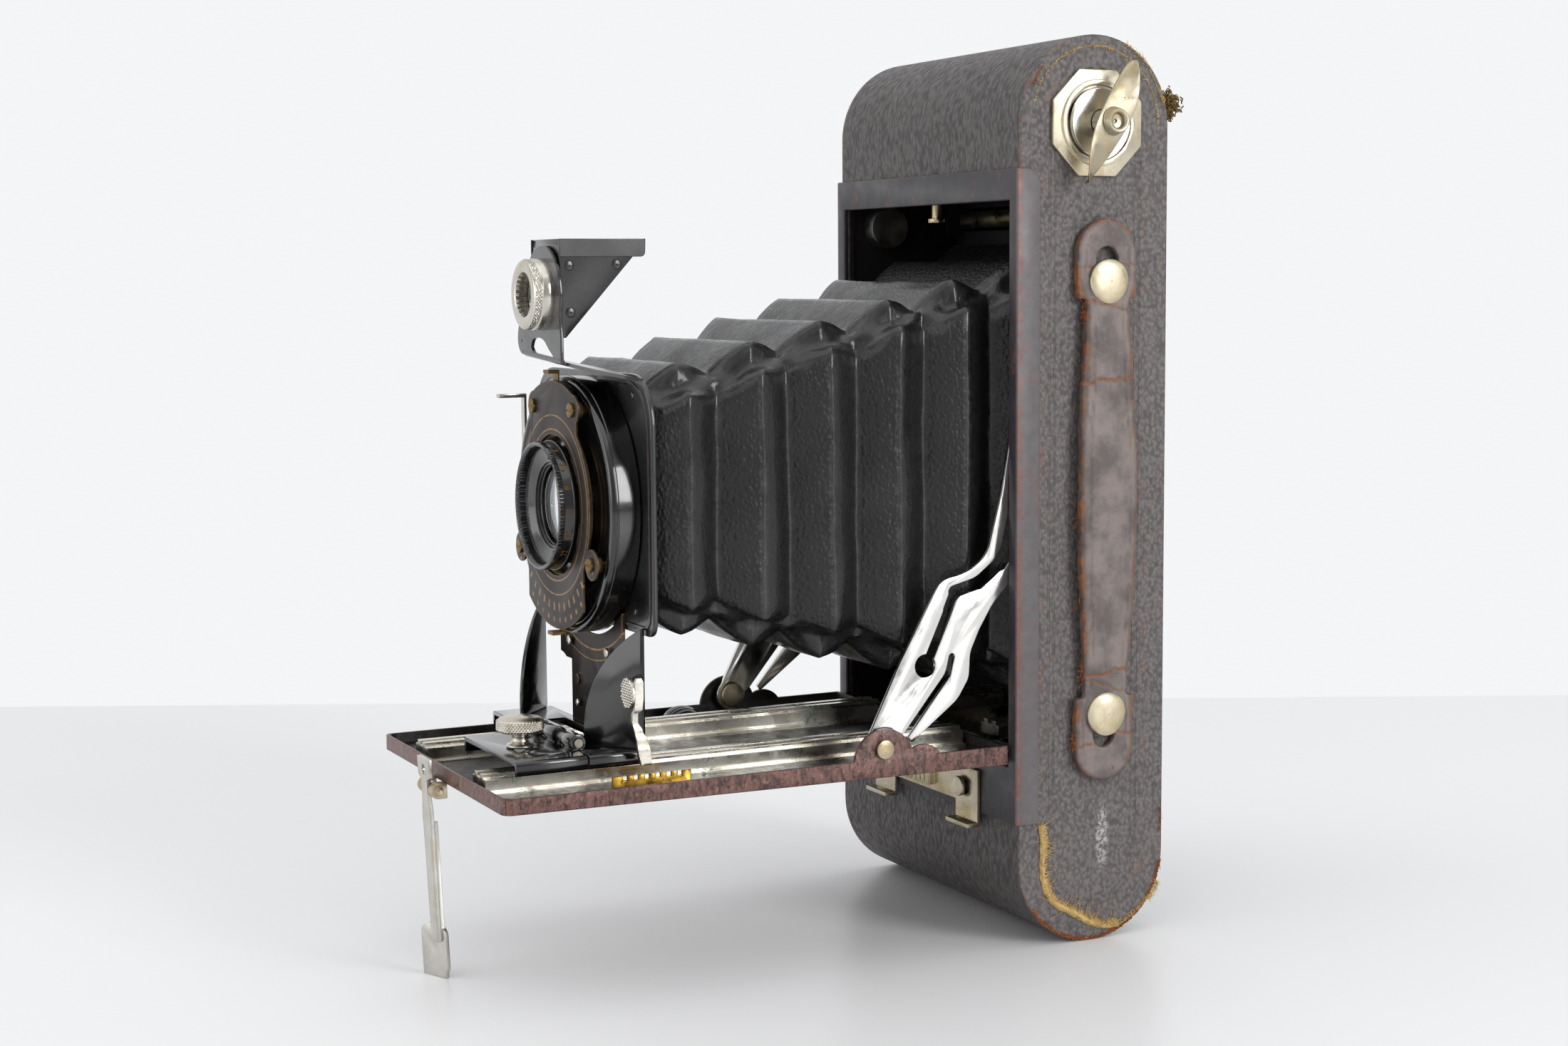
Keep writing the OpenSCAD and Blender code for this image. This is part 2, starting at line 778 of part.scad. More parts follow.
// ---- finder ----
module finder_bracket() {
    strip_z = plate_high + 1.2;
    color([0.06, 0.06, 0.06]) put() difference() {
        union() {
            translate([0, 0, strip_z]) linear_extrude(1) polygon([[12, plate_y], [34, plate_y],
                [30, -90], [finder_half - 0.6, finder_plate_y - 0.8], [-8.4, finder_plate_y - 0.8],
                [-8.4, finder_plate_y + 1]]);
            along_y(plate_front, plate_y) translate([12, plate_high]) square([22, 2.2]);
            along_y(finder_plate_y - 0.8, finder_plate_y) {
                translate([-8.4, strip_z]) square([16.8, finder_z - strip_z]);
                translate([0, finder_z]) circle(8.9);
            }
        }
        along_y(finder_plate_y - 2, finder_plate_y + 1) bar2d([-3, 141], [3, 141], 1.6);
        rod_y(5 + fit, finder_plate_y - 2, finder_plate_y + 1, 0, finder_z);
    }
}

bezel_front = finder_plate_y - 5.4;
module finder_bezel() {
    teeth = 36;
    color([0.85, 0.82, 0.74]) put() translate([0, 0, finder_z]) difference() {
        union() {
            rod_y(8.1, bezel_front + 1, bezel_front + 3.4);
            rod_y(7.2, bezel_front, finder_plate_y - 1);
            rod_y(5, finder_plate_y - 1.2, finder_plate_y + 1.2);
        }
        rod_y(4.3, bezel_front - 1, finder_plate_y + 2);
        for (i = [0 : teeth - 1]) rotate([0, i * 360 / teeth, 0])
            block([7.85, bezel_front + 0.5, -0.22], [9, bezel_front + 4, 0.22]);
    }
}

module finder_lens() {
    color([0.8, 0.9, 0.95, 0.5]) put() translate([0, 0, finder_z])
        rod_y(4.28, finder_plate_y - 2.4, finder_plate_y - 0.9);
}

box_front = finder_plate_y + gap;
box_back = -78.4;
module finder_box() {
    z_top = finder_z + 10.5;
    z_low = finder_z - 9.6;
    color([0.05, 0.05, 0.05]) put() difference() {
        union() {
            along_x(-8.3, 8.3) polygon([[box_front, z_low], [box_front, z_top], [box_back, z_top],
                [box_front + 1.4, z_low]]);
            block([-finder_half, box_front, z_top], [finder_half, box_back + 0.8, z_top + 1.8]);
        }
        along_x(-7.5, 7.5) polygon([[box_front + 0.8, z_low + 1.6], [box_front + 0.8, z_top - 0.4],
            [box_back - 2, z_top - 0.4]]);
        block([-7, box_front + 1.6, z_top - 1], [7, box_back - 1.4, z_top + 3]);
        rod_y(5 + fit, box_front - 1, box_front + 1, 0, finder_z);
    }
}

module finder_mirror() {
    z_low = finder_z - 7.1;
    color([0.85, 0.88, 0.9]) put() along_x(-7.3, 7.3) polygon([[box_front + 1.2, z_low],
        [box_back - 3.2, finder_z + 9.6], [box_back - 3.8, finder_z + 9.6],
        [box_front + 1, z_low + 0.4]]);
}

module finder_window() {
    color([0.7, 0.8, 0.85, 0.5]) put()
        block([-6.9, box_front + 1.7, finder_z + 10.5], [6.9, box_back - 1.5, finder_z + 11.3]);
}

// ---- shutter and lens ----
module at_lens() { put() translate([0, 0, lens_z]) children(); }

lever_y = drum_front + 2.4;
screw_spots = [[12, 22], [-12, 22], [22, -11.5], [-22, -11.5]];
release_x = -21;
release_dz = 7;

module shutter_drum() {
    color([0.03, 0.03, 0.03]) at_lens() difference() {
        union() {
            rod_y(drum_r, drum_front, plate_front);
            rod_y(drum_r + 0.4, plate_front - 0.9, plate_front);
        }
        rod_y(drum_r - 1.2, drum_front + 1, plate_front + 1);
        rod_y(13, drum_front - 1, drum_front + 2);
        block([-drum_r - 2, lever_y - 0.7, 4], [-20, lever_y + 0.7, 22]);
        for (p = screw_spots) rod_y(0.8 + fit, drum_front - 1, drum_front + 2, p[0], p[1]);
    }
    color([0.3, 0.3, 0.3]) at_lens()
        rod_y(1, drum_front + 0.5, plate_front, release_x, release_dz);
}

// A face with a wide lobe at the top and the bottom, and ears for the screws
module faceplate() {
    color([0.2, 0.18, 0.16]) at_lens() along_y(face_y - face_t, face_y) difference() {
        union() {
            circle(21.6);
            intersection() {
                circle(28.2);
                union() {
                    translate([-14, 0]) square([28, 30]);
                    translate([-17, -30]) square([34, 30]);
                }
            }
            for (p = screw_spots) translate(p) circle(3.5);
        }
        circle(16);
        for (p = screw_spots) translate(p) circle(0.8 + fit);
    }
}

module shutter_screws() {
    color([0.65, 0.5, 0.3]) at_lens() for (p = screw_spots) translate([p[0], 0, p[1]]) difference() {
            union() {
                rod_y(0.8, face_y - face_t, drum_front + 1);
                rod_y(1.6, face_y - face_t - 0.7, face_y - face_t);
                rod_y(1.7, face_y + 0.01, drum_front - 0.01);
            }
            block([-2, face_y - face_t - 1, -0.2], [2, face_y - face_t - 0.35, 0.2]);
        }
}

module release_lever() {
    color([0.8, 0.78, 0.72]) at_lens() translate([release_x, lever_y, release_dz]) {
        along_y(-0.4, 0.4) difference() {
            union() {
                circle(2.6);
                bar2d([0, 0], [-9.5, 3], 1.3);
                translate([-10.6, 2]) square([1.9, 15]);
            }
            circle(1 + fit);
        }
        block([-10.6, -6.6, 16], [-8.7, 0.4, 17]);
    }
}

// A thin ring on the lens tube with one arm, and a nub bent forward at the arm's end
module ring_lever(y0, y1, reach) {
    difference() {
        union() {
            rod_y(19, y0, y1);
            block([-1.6, y0, 17], [1.6, y1, reach]);
            block([-1.6, face_y - face_t - 1.4, reach - 0.8], [1.6, y1, reach]);
        }
        rod_y(15.6 + fit, y0 - 1, y1 + 1);
    }
}

module speed_lever() {
    color([0.7, 0.58, 0.35]) at_lens() ring_lever(face_y + 0.3, face_y + 0.65, 30.6);
}

module aperture_pointer() {
    color([0.3, 0.32, 0.28]) at_lens() rotate([0, 180, 0])
        ring_lever(face_y + 0.95, face_y + 1.3, 29.6);
}

module lens_ring() {
    color([0.04, 0.04, 0.04]) at_lens() difference() {
        union() {
            rod_y(ring_r, ring_front, face_y - 1.6);
            rod_y(15.6, face_y - 1.7, drum_front);
            rod_y(12.9, drum_front - eps, drum_front + 3);
        }
        rod_y(12.6, ring_front - 1, ring_front + 1.6);
        translate([0, ring_front + 1.5, 0]) rotate([-90, 0, 0]) cylinder(r1 = 12.2, r2 = 8.6, h = 2.6);
        rod_y(8.6, ring_front + 4, drum_front + 4);
    }
}

module front_lens() {
    color([0.85, 0.92, 0.95, 0.35]) at_lens() {
        translate([0, ring_front + 5.2, 0]) rotate([90, 0, 0]) dome(8.55, 1.6);
        rod_y(8.55, ring_front + 5.1, ring_front + 6.8);
    }
}

module rear_lens() {
    color([0.85, 0.92, 0.95, 0.35]) at_lens() rod_y(12.4, plate_y - 2.2, plate_y - 0.2);
}

module shutter_blades() {
    color([0.25, 0.25, 0.27]) at_lens() for (i = [0 : 4]) rotate([0, i * 72, 0])
        translate([0, drum_front + 4.2 + i * 0.3, 0]) along_y(-0.1, 0.1) difference() {
            intersection() {
                circle(16);
                translate([4, 9]) circle(13);
            }
            circle(6.4);
        }
}

// ---- bellows ----
bellows_front = plate_y + 0.05;
bellows_back = 32.95;
pleats = 7;
function bellows_t(y) = (y - bellows_front) / (bellows_back - bellows_front);
function bellows_half_w(t) = 33.4 + 4 * t;
function bellows_low(t) = 79.5 - 27.5 * t;
function bellows_high(t) = 136 + 31 * t;

// One pleat: a tapered ring section between two depths
module pleat_ring(y0, y1, in0, in1) {
    t0 = bellows_t(y0);
    t1 = bellows_t(y1);
    hull() for (e = [[y0, t0, in0], [y1, t1, in1]]) translate([0, e[0], 0]) rotate([90, 0, 0])
        linear_extrude(0.02) polygon([[-bellows_half_w(e[1]) + e[2], bellows_low(e[1]) + e[2]],
            [bellows_half_w(e[1]) - e[2], bellows_low(e[1]) + e[2]],
            [bellows_half_w(e[1]) - e[2], bellows_high(e[1]) - e[2]],
            [-bellows_half_w(e[1]) + e[2], bellows_high(e[1]) - e[2]]]);
}

module bellows() {
    pitch = (bellows_back - bellows_front) / pleats;
    color([0.06, 0.06, 0.06]) put() difference() {
        for (i = [0 : pleats - 1]) {
            y = bellows_front + i * pitch;
            pleat_ring(y, y + pitch * 0.22, 4, 0.5);
            pleat_ring(y + pitch * 0.22, y + pitch * 0.78, 0.5, 0.5);
            pleat_ring(y + pitch * 0.78, y + pitch, 0.5, 4);
        }
        pleat_ring(bellows_front - 1, bellows_back + 1, 5, 5);
    }
}

body_shell();
side_leather();
front_leather();
front_frame();
film_gate();
roller_top();
roller_bottom();
feed_spool();
takeup_spool();
spool_pin_top();
spool_pin_bottom();
key_plate();
key_disc();
winding_key();
carry_strap();
strap_studs();
tripod_bush();
bed_catch();
latch_plate();
latch_studs();
back_cover();
back_leather();
pressure_plate();
red_window();
autographic_door();
stylus();
bed_tray();
bed_leather();
bed_hinge_pin();
bed_rails();
focus_scale();
struts();
strut_pins();
ribbed_button();
stand_leg();
stand_bracket();
base_plate();
clamp_knob();
base_hinge_pin();
standard_wings();
standard_plate();
info_plate();
focus_lever();
finder_bracket();
finder_bezel();
finder_lens();
finder_box();
finder_mirror();
finder_window();
shutter_drum();
faceplate();
shutter_screws();
release_lever();
speed_lever();
aperture_pointer();
lens_ring();
front_lens();
rear_lens();
shutter_blades();
bellows();
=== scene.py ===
"""A folding roll-film camera: materials, leather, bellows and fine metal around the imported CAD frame."""
import json
import math
import random

import bmesh
import bpy
from mathutils import Matrix, Vector, noise


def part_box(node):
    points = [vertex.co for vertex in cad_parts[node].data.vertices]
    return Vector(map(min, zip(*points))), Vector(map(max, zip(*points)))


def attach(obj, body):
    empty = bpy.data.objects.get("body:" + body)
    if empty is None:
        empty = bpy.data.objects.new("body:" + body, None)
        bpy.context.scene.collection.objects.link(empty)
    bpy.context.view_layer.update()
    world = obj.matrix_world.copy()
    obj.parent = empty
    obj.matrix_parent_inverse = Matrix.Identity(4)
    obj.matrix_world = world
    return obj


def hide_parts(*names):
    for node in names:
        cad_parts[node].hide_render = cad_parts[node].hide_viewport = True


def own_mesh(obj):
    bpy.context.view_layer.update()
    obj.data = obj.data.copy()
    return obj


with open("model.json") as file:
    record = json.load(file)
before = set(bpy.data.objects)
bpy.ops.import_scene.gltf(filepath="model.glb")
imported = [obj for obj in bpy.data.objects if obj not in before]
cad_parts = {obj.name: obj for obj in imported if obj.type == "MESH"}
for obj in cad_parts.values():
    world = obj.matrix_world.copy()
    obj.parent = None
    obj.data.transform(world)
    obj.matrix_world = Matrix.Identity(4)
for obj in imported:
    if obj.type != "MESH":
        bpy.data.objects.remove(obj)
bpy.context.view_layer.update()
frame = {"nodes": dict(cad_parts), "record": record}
NODES = frame["nodes"]
BEHAVIOUR = frame["record"]["behaviour"]
MM = 0.001


def mid(node):
    """Middle of a CAD node's box."""
    low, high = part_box(node)
    return (low + high) / 2


LENS_CENTRE = mid("lens_ring")
ORIGIN = Vector((LENS_CENTRE.x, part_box("side_leather")[0].y, 0))


def m(x, y, z):
    """A place in millimetres: X from the lens axis, Y from the body's front, Z from the table."""
    return ORIGIN + Vector((x, y, z)) * MM


def span_mm(node, axis):
    """Low and high end of a CAD node along one axis, in the millimetres of m()."""
    k = "XYZ".index(axis)
    return [(corner[k] - ORIGIN[k]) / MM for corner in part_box(node)]


def lin(r, g, b):
    """Linear colour from 0-255 display values."""
    return tuple(((c / 255 + 0.055) / 1.055) ** 2.4 if c > 10 else c / 255 / 12.92 for c in (r, g, b)) + (1,)


# ---- shading helpers
class Shade:
    """One node material around a Principled shader. Each helper returns an output socket."""

    def __init__(self, name, base=(0.5, 0.5, 0.5, 1), rough=0.5, metal=0.0, **sockets):
        self.mat = bpy.data.materials.new(name)
        self.mat.use_nodes = True
        self.tree = self.mat.node_tree
        self.tree.nodes.clear()
        self.bsdf = self.tree.nodes.new("ShaderNodeBsdfPrincipled")
        out = self.tree.nodes.new("ShaderNodeOutputMaterial")
        self.tree.links.new(self.bsdf.outputs[0], out.inputs[0])
        self.place = self.tree.nodes.new("ShaderNodeTexCoord").outputs["Object"]
        self.set("Base Color", base)
        self.set("Roughness", rough)
        self.set("Metallic", metal)
        for key, value in sockets.items():
            self.set(key.replace("_", " "), value)

    def put(self, value, socket):
        if isinstance(value, bpy.types.NodeSocket):
            self.tree.links.new(value, socket)
        else:
            socket.default_value = value

    def set(self, name, value):
        self.put(value, self.bsdf.inputs[name])

    def node(self, kind, out=0, props=None, **inputs):
        n = self.tree.nodes.new(kind)
        for key, value in (props or {}).items():
            setattr(n, key, value)
        for key, value in inputs.items():
            self.put(value, n.inputs[int(key[1:])] if key[1:].isdigit() else n.inputs[key.replace("_", " ")])
        return n.outputs[out]

    def vec(self, operation, a, b=(0, 0, 0), out=0, **more):
        return self.node("ShaderNodeVectorMath", out, {"operation": operation}, _0=a, _1=b, **more)

    def attribute(self, name):
        """A number stored on the mesh's points."""
        return self.node("ShaderNodeAttribute", out=2, props={"attribute_name": name})

    def stretch(self, x, y, z):
        return self.node("ShaderNodeMapping", Vector=self.place, Scale=(x, y, z))

    def noise(self, scale, detail=2.0, rough=0.5, bend=0.0, vector=None):
        return self.node("ShaderNodeTexNoise", Vector=vector or self.place, Scale=scale, Detail=detail,
                         Roughness=rough, Distortion=bend)

    def cells(self, scale, vector):
        return self.node("ShaderNodeTexVoronoi", props={"feature": "SMOOTH_F1"}, Vector=vector, Scale=scale)

    def warp(self, amount, scale, vector):
        """The vector, pushed about by noise."""
        n = self.node("ShaderNodeTexNoise", out=1, Vector=vector, Scale=scale, Detail=2.0)
        shift = self.vec("SUBTRACT", n, (0.5, 0.5, 0.5))
        return self.vec("ADD", vector, self.vec("SCALE", shift, Scale=amount))

    def axis(self, letter):
        return self.node("ShaderNodeSeparateXYZ", out="XYZ".index(letter), Vector=self.place)

    def math(self, operation, a, b=0.0):
        return self.node("ShaderNodeMath", props={"operation": operation}, _0=a, _1=b)

    def add(self, a, b):
        return self.math("ADD", a, b)

    def sub(self, a, b):
        return self.math("SUBTRACT", a, b)

    def mul(self, a, b):
        return self.math("MULTIPLY", a, b)

    def most(self, a, b):
        return self.math("MAXIMUM", a, b)

    def span(self, value, low, high, to_low=0.0, to_high=1.0):
        """value from low..high moved to to_low..to_high, with smooth ends."""
        return self.node("ShaderNodeMapRange", props={"interpolation_type": "SMOOTHSTEP"}, Value=value,
                         From_Min=low, From_Max=high, To_Min=to_low, To_Max=to_high)

    def spots(self, low, high, *noise):
        """Patches of noise: 0 below low, 1 above high."""
        return self.span(self.noise(*noise), low, high)

    def mix(self, fac, a, b):
        n = self.tree.nodes.new("ShaderNodeMix")
        n.data_type = "RGBA"
        self.put(fac, n.inputs[0])
        self.put(a, n.inputs[6])
        self.put(b, n.inputs[7])
        return n.outputs[2]

    def bump(self, height, depth, strength=1.0, normal=None):
        n = self.tree.nodes.new("ShaderNodeBump")
        self.put(height, n.inputs["Height"])
        n.inputs["Distance"].default_value = depth
        n.inputs["Strength"].default_value = strength
        if normal is not None:
            self.put(normal, n.inputs["Normal"])
        return n.outputs[0]

    def edge(self, radius, low=0.02, high=0.25):
        """1 on edges sharper than about the radius, 0 on flats."""
        soft = self.soft_edge(radius)
        flat = self.node("ShaderNodeNewGeometry", out=1)
        return self.span(self.sub(1.0, self.vec("DOT_PRODUCT", soft, flat, 1)), low, high)

    def from_outline(self, node_name):
        """Distance inside the body's round-ended side outline."""
        low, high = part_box(node_name)
        radius = (high.y - low.y) / 2
        centre = (low + high) / 2
        y = self.sub(self.axis("Y"), centre.y)
        up = self.math("ABSOLUTE", self.sub(self.axis("Z"), centre.z))
        z = self.most(self.sub(up, (high.z - low.z) / 2 - radius), 0.0)
        length = self.math("SQRT", self.add(self.mul(y, y), self.mul(z, z)))
        return self.sub(radius, length)

    def from_axis(self, centre):
        """Distance from a line along Y through centre."""
        x = self.sub(self.axis("X"), centre.x)
        z = self.sub(self.axis("Z"), centre.z)
        return self.math("SQRT", self.add(self.mul(x, x), self.mul(z, z)))

    def stripe(self, value, at, half):
        """1 where value is within half of at."""
        return self.span(self.math("ABSOLUTE", self.sub(value, at)), half * 0.5, half, 1.0, 0.0)

    def blob_stretched(self, centre, scale, reach):
        """1 at centre, falling to 0 at reach, with the distance stretched along each axis."""
        sized = self.vec("MULTIPLY", self.vec("SUBTRACT", self.place, tuple(centre)), scale)
        return self.span(self.vec("LENGTH", sized, out=1), reach * 0.4, reach, 1.0, 0.0)

    def soft_edge(self, radius):
        return self.node("ShaderNodeBevel", props={"samples": 4}, Radius=radius)

    def done(self, colour=None, roughness=None, normal=None):
        for name, value in (("Base Color", colour), ("Roughness", roughness), ("Normal", normal)):
            if value is not None:
                self.set(name, value)
        return self.mat


RUST = lin(172, 104, 56)
# tones of the covering's hollows, patches and raised grain, the last a painted highlight; the side tones are
# painted lighter and the front tones darker: painted light and shade for the sides lit more than the front
LIT_SIDE_TONES = ((65, 61, 61), (94, 90, 88), (142, 134, 131))
SHADED_FRONT_TONES = ((49, 46, 46), (72, 68, 67), (108, 102, 99))


def leatherette(name, streaky=False):
    """Dark pebbled covering, brown and tan where its edges are worn."""
    s = Shade(name, rough=0.55, Specular_IOR_Level=0.5)
    if streaky:
        v = s.warp(0.0010, 520, s.stretch(1.0, 0.52, 0.52))
        pebble = s.cells(1150, v)
        fine = s.noise(3000, 2.0, 0.5, 0.8, s.stretch(1.0, 0.7, 0.7))
    else:
        v = s.warp(0.0009, 520, s.stretch(1.0, 1.0, 0.8))
        pebble = s.cells(1250, v)
        fine = s.noise(3200, 3.0, 0.6, 0.8)
    height = s.sub(s.mul(fine, 0.4), pebble)
    patch = s.noise(60, 4.0, 0.6)
    # painted light and shade: the sides take the lighter tones, the front and back the darker ones
    dark, light, raised = LIT_SIDE_TONES if not streaky else SHADED_FRONT_TONES
    base = s.mix(patch, lin(*dark), lin(*light))
    # painted highlight: the raised grain is lightened towards the third tone
    grey = s.mix(s.span(height, -0.5, 0.1, 0.0, 0.45), base, lin(*raised))
    warm = s.mul(s.spots(0.55, 0.75, 800, 3.0), s.spots(0.45, 0.7, 70, 2.0))
    grey = s.mix(s.mul(warm, 0.35), grey, lin(112, 84, 62))
    specks = s.mul(s.spots(0.7, 0.76, 2300, 2.0), s.spots(0.5, 0.62, 160, 2.0))
    grey = s.mix(s.mul(specks, 0.7), grey, lin(176, 172, 166))
    worn = s.mul(s.edge(0.0009, 0.01, 0.2), s.spots(0.46, 0.62, 300, 4.0, 0.7))
    colour = s.mix(s.mul(worn, 0.85), grey, s.mix(s.noise(1500), lin(96, 60, 40), RUST))
    if not streaky:
        d = s.from_outline("side_leather")
        lines = s.most(s.stripe(d, 0.0078, 0.0004), s.stripe(d, 0.0092, 0.0003))
        height = s.sub(height, s.mul(lines, 0.5))
        rubbed = s.mul(s.stripe(d, 0.0058, 0.0012), s.spots(0.52, 0.66, 220, 4.0, 0.7))
        colour = s.mix(s.mul(rubbed, 0.45), colour, lin(126, 86, 58))
        scuff_at = Vector((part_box("side_leather")[1].x, mid("carry_strap").y + 0.001, 0.0245))
        scuff = s.mul(s.blob_stretched(scuff_at, (1, 2.6, 0.62), 0.0062), s.spots(0.45, 0.6, 1300, 5.0, 0.75))
        colour = s.mix(s.mul(scuff, 0.8), colour, lin(196, 194, 190))
    return s.done(colour, s.span(height, -0.7, 0.1, 0.66, 0.4),
                  s.bump(height, 0.00034 if streaky else 0.00026, 1.0, s.soft_edge(0.0006)))


def lacquer(name, gloss=0.14, wear=0.5):
    """Black enamel with brown wear on its edges and fine scratches."""
    s = Shade(name, rough=gloss, Specular_IOR_Level=0.6, Coat_Weight=0.6, Coat_Roughness=0.08)
    dust = s.noise(1600, 4.0, 0.7)
    base = s.mix(s.span(dust, 0.5, 0.8), lin(11, 11, 12), lin(26, 25, 25))
    worn = s.mul(s.edge(0.0004, 0.01, 0.2), s.spots(0.5, 0.62, 260, 5.0, 0.75))
    colour = s.mix(s.mul(worn, wear), base, lin(92, 60, 44))
    smudge = s.noise(90, 4.0, 0.6)
    return s.done(colour, s.add(s.span(smudge, 0.3, 0.7, gloss * 0.7, gloss * 1.7), s.mul(worn, 0.3)),
                  s.bump(s.noise(700, 3.0, 0.6), 0.00001, 0.6, s.soft_edge(0.00025)))


def frame_lacquer(name):
    """Satin black enamel rubbed through to rusty brown in patches and along edges."""
    s = Shade(name, rough=0.42, Specular_IOR_Level=0.5)
    base = s.mix(s.noise(240, 4.0, 0.6), lin(46, 44, 47), lin(66, 63, 67))
    low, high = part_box("front_frame")
    cheek = s.span(s.math("ABSOLUTE", s.sub(s.axis("X"), (low.x + high.x) / 2)),
                   (high.x - low.x) / 2 - 0.0008, (high.x - low.x) / 2 - 0.0002)
    # painted light: the side cheeks are a lighter grey than the front, for the sides lit more than the front
    base = s.mix(cheek, base, s.mix(s.noise(420, 4.0, 0.6), lin(82, 79, 81), lin(112, 108, 110)))
    patch = s.spots(0.56, 0.66, 170, 6.0, 0.72)
    specks = s.mul(s.spots(0.6, 0.68, 1400, 3.0, 0.6), s.spots(0.48, 0.6, 60, 2.0))
    worn = s.most(s.mul(s.edge(0.0009, 0.01, 0.2), s.spots(0.42, 0.6, 300, 4.0)), s.mul(patch, 0.55))
    worn = s.most(worn, specks)
    corner = s.mul(cheek, s.stripe(s.axis("Y"), low.y + 0.0004, 0.0016))
    worn = s.most(worn, s.mul(corner, s.spots(0.36, 0.56, 260, 5.0, 0.7)))
    rust = s.mix(s.noise(900, 4.0), lin(92, 54, 48), lin(142, 96, 84))
    return s.done(s.mix(s.mul(worn, 0.75), base, rust), s.span(s.noise(140, 3.0), 0.3, 0.7, 0.34, 0.52),
                  s.bump(s.noise(900, 4.0, 0.6), 0.00004, 0.7, s.soft_edge(0.0005)))


def inner_black(name):
    """Matt black paint inside the body."""
    s = Shade(name, rough=0.75, Specular_IOR_Level=0.3)
    return s.done(s.mix(s.noise(300, 4.0), lin(16, 16, 16), lin(34, 32, 31)),
                  normal=s.bump(s.noise(1500, 3.0), 0.00003))


def patina(name):
    """Coppery brown bed metal, streaked across its lip."""
    s = Shade(name, rough=0.38, metal=0.35, Specular_IOR_Level=0.6)
    streak = s.noise(620, 5.0, 0.72, 0.4, s.stretch(1.0, 1.0, 0.55))
    broad = s.noise(130, 4.0, 0.6)
    colour = s.mix(s.span(streak, 0.36, 0.6), lin(66, 46, 43), lin(122, 88, 80))
    colour = s.mix(s.span(s.noise(1100, 4.0, 0.7, 0.0, s.stretch(1.0, 1.0, 0.6)), 0.56, 0.7, 0.0, 0.7),
                   colour, lin(160, 128, 110))
    colour = s.mix(s.span(s.noise(900, 4.0, 0.6), 0.57, 0.64, 0.0, 0.85), colour, lin(48, 36, 36))
    colour = s.mix(s.span(broad, 0.56, 0.72, 0.0, 0.5), colour, lin(70, 48, 45))
    low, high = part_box("bed_tray")
    inside_x = s.math("LESS_THAN", s.math("ABSOLUTE", s.sub(s.axis("X"), (low.x + high.x) / 2)),
                      (high.x - low.x) / 2 - 0.0006)
    inside_y = s.math("GREATER_THAN", s.axis("Y"), low.y + 0.0006)
    inside = s.mul(s.mul(inside_x, inside_y), s.span(s.axis("Z"), low.z + 0.0001, low.z + 0.0003))
    # the floor inside the lip is darker, mottled brown-black
    floor_mottle = s.mix(s.spots(0.5, 0.72, 520, 5.0, 0.7), lin(26, 22, 21), lin(66, 50, 44))
    colour = s.mix(inside, colour, floor_mottle)
    chips = s.mul(s.edge(0.0006, 0.01, 0.25), s.spots(0.48, 0.58, 420, 4.0, 0.7))
    colour = s.mix(chips, colour, lin(38, 30, 29))
    return s.done(colour, s.span(streak, 0.3, 0.7, 0.28, 0.5),
                  s.bump(streak, 0.00006, 0.7, s.soft_edge(0.0005)))


def nickel(name, tint=(214, 206, 186), rough=0.2, tarnish=0.4, verdigris=0.0, brushed=0.0):
    """Nickel plate with yellow tarnish and dark pits, its edges rounded in the shading."""
    s = Shade(name, rough=rough, metal=1.0)
    bright = lin(*tint)
    yellow = lin(168, 146, 98)
    base = s.mix(s.mul(s.spots(0.42, 0.68, 110, 5.0, 0.65), tarnish), bright, yellow)
    pits = s.mul(s.spots(0.6, 0.68, 1300, 5.0, 0.7), s.spots(0.4, 0.62, 150, 3.0))
    base = s.mix(s.mul(pits, min(1.0, tarnish * 1.6)), base, lin(74, 58, 40))
    roughness = s.span(s.noise(190, 5.0, 0.6), 0.3, 0.7, rough * 0.75, rough * 1.6)
    if verdigris:
        green = s.mul(s.spots(0.58, 0.66, 90, 4.0, 0.6), s.spots(0.42, 0.6, 900, 3.0))
        green = s.mul(green, verdigris)
        base = s.mix(green, base, lin(118, 150, 132))
        s.set("Metallic", s.sub(1.0, green))
        roughness = s.add(roughness, s.mul(green, 0.5))
    grain = s.noise(2600, 2.0, 0.5, 0.0, s.stretch(1.0, 0.04, 1.0)) if brushed else s.noise(800, 3.0, 0.6)
    return s.done(base, roughness, s.bump(grain, 0.00002 if brushed else 0.00001, 0.6, s.soft_edge(0.00025)))


def etched_plate(name, centre, rings, spokes):
    """Dark gunmetal with brass outlines: rings round the lens axis and a row of fine marks."""
    s = Shade(name, rough=0.45, metal=0.75)
    brass = lin(166, 132, 88)
    base = s.mix(s.noise(500, 4.0, 0.6), lin(50, 46, 44), lin(74, 68, 64))
    r = s.from_axis(centre)
    lines = s.edge(0.0007, 0.02, 0.2)
    for at, half in rings:
        lines = s.most(lines, s.stripe(r, at, half))
    if spokes:
        x = s.sub(s.axis("X"), centre.x)
        z = s.sub(s.axis("Z"), centre.z)
        turn = s.math("ARCTAN2", x, z)
        comb = s.math("SINE", s.mul(turn, spokes))
        band = s.mul(s.span(comb, 0.62, 0.8),
                     s.most(s.stripe(r, 0.0232, 0.0012), s.stripe(r, 0.0262, 0.0007)))
        low_half = s.math("LESS_THAN", z, -0.012)
        lines = s.most(lines, s.mul(band, low_half))
    colour = s.mix(s.mul(lines, s.span(s.noise(600, 4.0), 0.3, 0.55, 0.35, 0.95)), base, brass)
    return s.done(colour, normal=s.bump(lines, 0.00005, 0.7, s.soft_edge(0.0002)))


def brass(name):
    """Old yellow brass."""
    s = Shade(name, rough=0.3, metal=1.0)
    colour = s.mix(s.spots(0.35, 0.7, 260, 5.0, 0.6), lin(198, 158, 66), lin(146, 108, 48))
    colour = s.mix(s.span(s.noise(1200, 4.0), 0.6, 0.7, 0.0, 0.8), colour, lin(70, 52, 30))
    return s.done(colour, s.span(s.noise(300, 4.0), 0.3, 0.7, 0.22, 0.45),
                  s.bump(s.noise(900, 3.0), 0.00002, 0.6, s.soft_edge(0.0002)))


